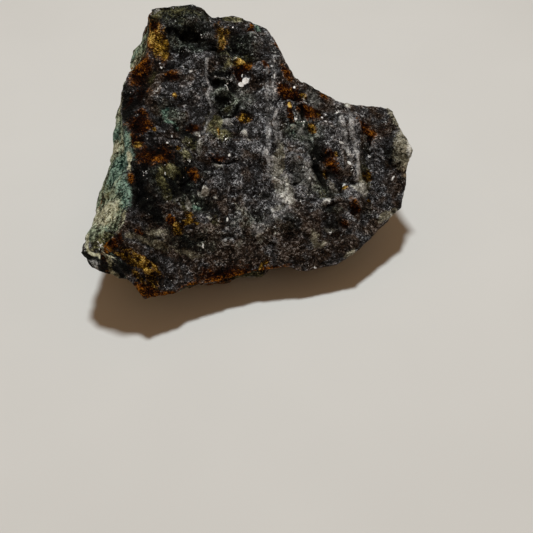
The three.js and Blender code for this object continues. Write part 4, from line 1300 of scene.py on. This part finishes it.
def build_ore():
    """The ore lump as one closed mesh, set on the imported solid, with its minerals as point fields."""
    edge = along(TOP_EDGE, np.arange(4 * FACE_CELLS) / (4 * FACE_CELLS))
    face = face_points(edge)
    points = np.concatenate([face, wall_points(edge), [FOOT_MIDDLE]])
    row_shares = np.arange(1, WALL_ROWS + 1) / BELT_ROW
    wall_share = np.concatenate([np.zeros(len(face)), np.repeat(row_shares, len(edge)), row_shares[-1:]])
    triangles = lump_triangles(points)
    fields = mineral_fields(points, wall_share)

    middle = (points.min(axis=0) + points.max(axis=0)) / 2
    low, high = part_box("ore_specimen")
    shift = np.array((low + high) / 2) / MM - middle

    fine, fields["crack"] = fine_relief(points, wall_share, fields)
    normals = smooth_normals(points, triangles, NORMAL_ROUNDS)
    points = points + normals * fine[:, None]
    # Fields for painted shade in hollows and painted light on raised parts: how far each point stands above
    # the smoothed surface.
    for name, rounds, depth in CAVITY_SHADES:
        above = ((points - smoothed(points, triangles, rounds)) * normals).sum(axis=1)
        fields[name] = np.clip(0.5 + above / depth, 0, 1)
    points = np.clip((points + shift * (1, 1, 0)) * MM, low, high)

    mesh = bpy.data.meshes.new("ore_lump")
    mesh.from_pydata(points, [], triangles)
    for name, values in fields.items():
        mesh.attributes.new(name, "FLOAT", "POINT").data.foreach_set("value", values.astype(np.float32))
    mesh.polygons.foreach_set("use_smooth", np.ones(len(triangles), dtype=bool))
    mesh.materials.append(ore_material())
    mesh.update()
    ore = bpy.data.objects.new("ore_lump", mesh)
    bpy.context.collection.objects.link(ore)
    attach(ore, "root")
    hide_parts("ore_specimen")


# ----------------------------------------------------------------------------------------------------
# Floor, light and camera
# ----------------------------------------------------------------------------------------------------

# The floor: half its side in metres, its two colours, their clouds for each metre, and how it fades into the
# backdrop: distances from the middle, and the light that it then gives.
FLOOR_HALF = 2.0
FLOOR_TONES = [(0.0, (0.592, 0.596, 0.594)), (1.0, (0.632, 0.636, 0.634))]
FLOOR_CLOUDS = 30.0
FLOOR_FADE = (0.25, 0.8)
FLOOR_GLOW = [(0.0, (0, 0, 0)), (1.0, (0.46, 0.52, 0.53))]
FLOOR_ROUGHNESS = 0.9
FLOOR_SPECULAR = 0.2

# The lamps: name, place and diameter in metres, power in watts, and colour. They point at LAMP_TARGET.
LAMPS = [
    ("key_lamp", (-0.01, 0.045, 0.42), 0.05, 1.5, (0.95, 1, 0.99)),
    ("soft_fill", (0.25, -0.5, 0.5), 0.5, 0.25, (1, 0.8, 0.6)),
]
LAMP_TARGET = (0, 0, 0.01)

# The room's light, and the backdrop that the camera sees in its place.
ROOM_COLOUR = (0.222, 0.132, 0.068, 1)
BACKDROP_COLOUR = (0.6, 0.6, 0.57, 1)

# The camera: its place in metres, how far it looks down, turns to the right and rolls, in degrees, and its
# focal length and picture width in pixels.
CAMERA_PLACE = (0.0078, -0.1217, 0.1171)
CAMERA_ANGLES = (46.71, -2.94, -1.43)
FOCAL_PIXELS = 854.9
PICTURE_PIXELS = 533
SENSOR_WIDTH = 36
NEAREST_SEEN = 0.01


def build_floor():
    """A wide pale floor under the specimen. Far from it, it glows like the backdrop and shows no horizon."""
    corners = [(x * FLOOR_HALF, y * FLOOR_HALF, 0) for x, y in ((-1, -1), (1, -1), (1, 1), (-1, 1))]
    mesh = bpy.data.meshes.new("studio_floor")
    mesh.from_pydata(corners, [], [(0, 1, 2, 3)])
    material = bpy.data.materials.new("matt_pale_floor")
    material.use_nodes = True
    tree = material.node_tree
    surface = tree.nodes["Principled BSDF"].inputs
    surface["Roughness"].default_value = FLOOR_ROUGHNESS
    surface["Specular IOR Level"].default_value = FLOOR_SPECULAR
    surface["Emission Strength"].default_value = 1.0
    place = add(tree, "ShaderNodeTexCoord").outputs["Object"]
    clouds = noise(tree, place, FLOOR_CLOUDS, detail=2.0)
    tree.links.new(ramp(tree, clouds, FLOOR_TONES), surface["Base Color"])
    distance = add(tree, "ShaderNodeVectorMath", {0: place}, operation="LENGTH").outputs["Value"]
    tree.links.new(ramp(tree, remap(tree, distance, *FLOOR_FADE), FLOOR_GLOW), surface["Emission Color"])
    mesh.materials.append(material)
    floor = bpy.data.objects.new("studio_floor", mesh)
    bpy.context.collection.objects.link(floor)


def build_light():
    """A small lamp nearly overhead, a faint broad one in front, and a dim warm room with pale walls."""
    for name, place, size, power, colour in LAMPS:
        light = bpy.data.lights.new(name, "AREA")
        light.shape = "DISK"
        light.size = size
        light.energy = power
        light.color = colour
        lamp = bpy.data.objects.new(name, light)
        lamp.location = place
        lamp.rotation_euler = (Vector(LAMP_TARGET) - Vector(place)).to_track_quat("-Z", "Y").to_euler()
        bpy.context.collection.objects.link(lamp)

    world = bpy.data.worlds.new("warm_room")
    world.use_nodes = True
    tree = world.node_tree
    is_seen = add(tree, "ShaderNodeLightPath").outputs["Is Camera Ray"]
    colour = blend_colours(tree, is_seen, ROOM_COLOUR, BACKDROP_COLOUR)
    tree.links.new(colour, tree.nodes["Background"].inputs["Color"])
    bpy.context.scene.world = world
    bpy.context.scene.view_settings.view_transform = "Standard"


def build_camera():
    """A camera in front and above, looking down at the specimen."""
    down, turn, roll = (math.radians(angle) for angle in CAMERA_ANGLES)
    forward = Vector((math.sin(turn) * math.cos(down), math.cos(turn) * math.cos(down), -math.sin(down)))
    level = Vector((math.cos(turn), -math.sin(turn), 0))
    upright = level.cross(forward)
    right = math.cos(roll) * level + math.sin(roll) * upright
    up = right.cross(forward)

    lens = bpy.data.cameras.new("front_camera")
    lens.sensor_width = SENSOR_WIDTH
    lens.lens = SENSOR_WIDTH * FOCAL_PIXELS / PICTURE_PIXELS
    lens.clip_start = NEAREST_SEEN
    camera = bpy.data.objects.new("front_camera", lens)
    axes = Matrix((right, up, -forward)).transposed().to_4x4()
    camera.matrix_world = Matrix.Translation(CAMERA_PLACE) @ axes
    bpy.context.collection.objects.link(camera)
    bpy.context.scene.camera = camera


build_camera()
build_light()
build_floor()
build_ore()
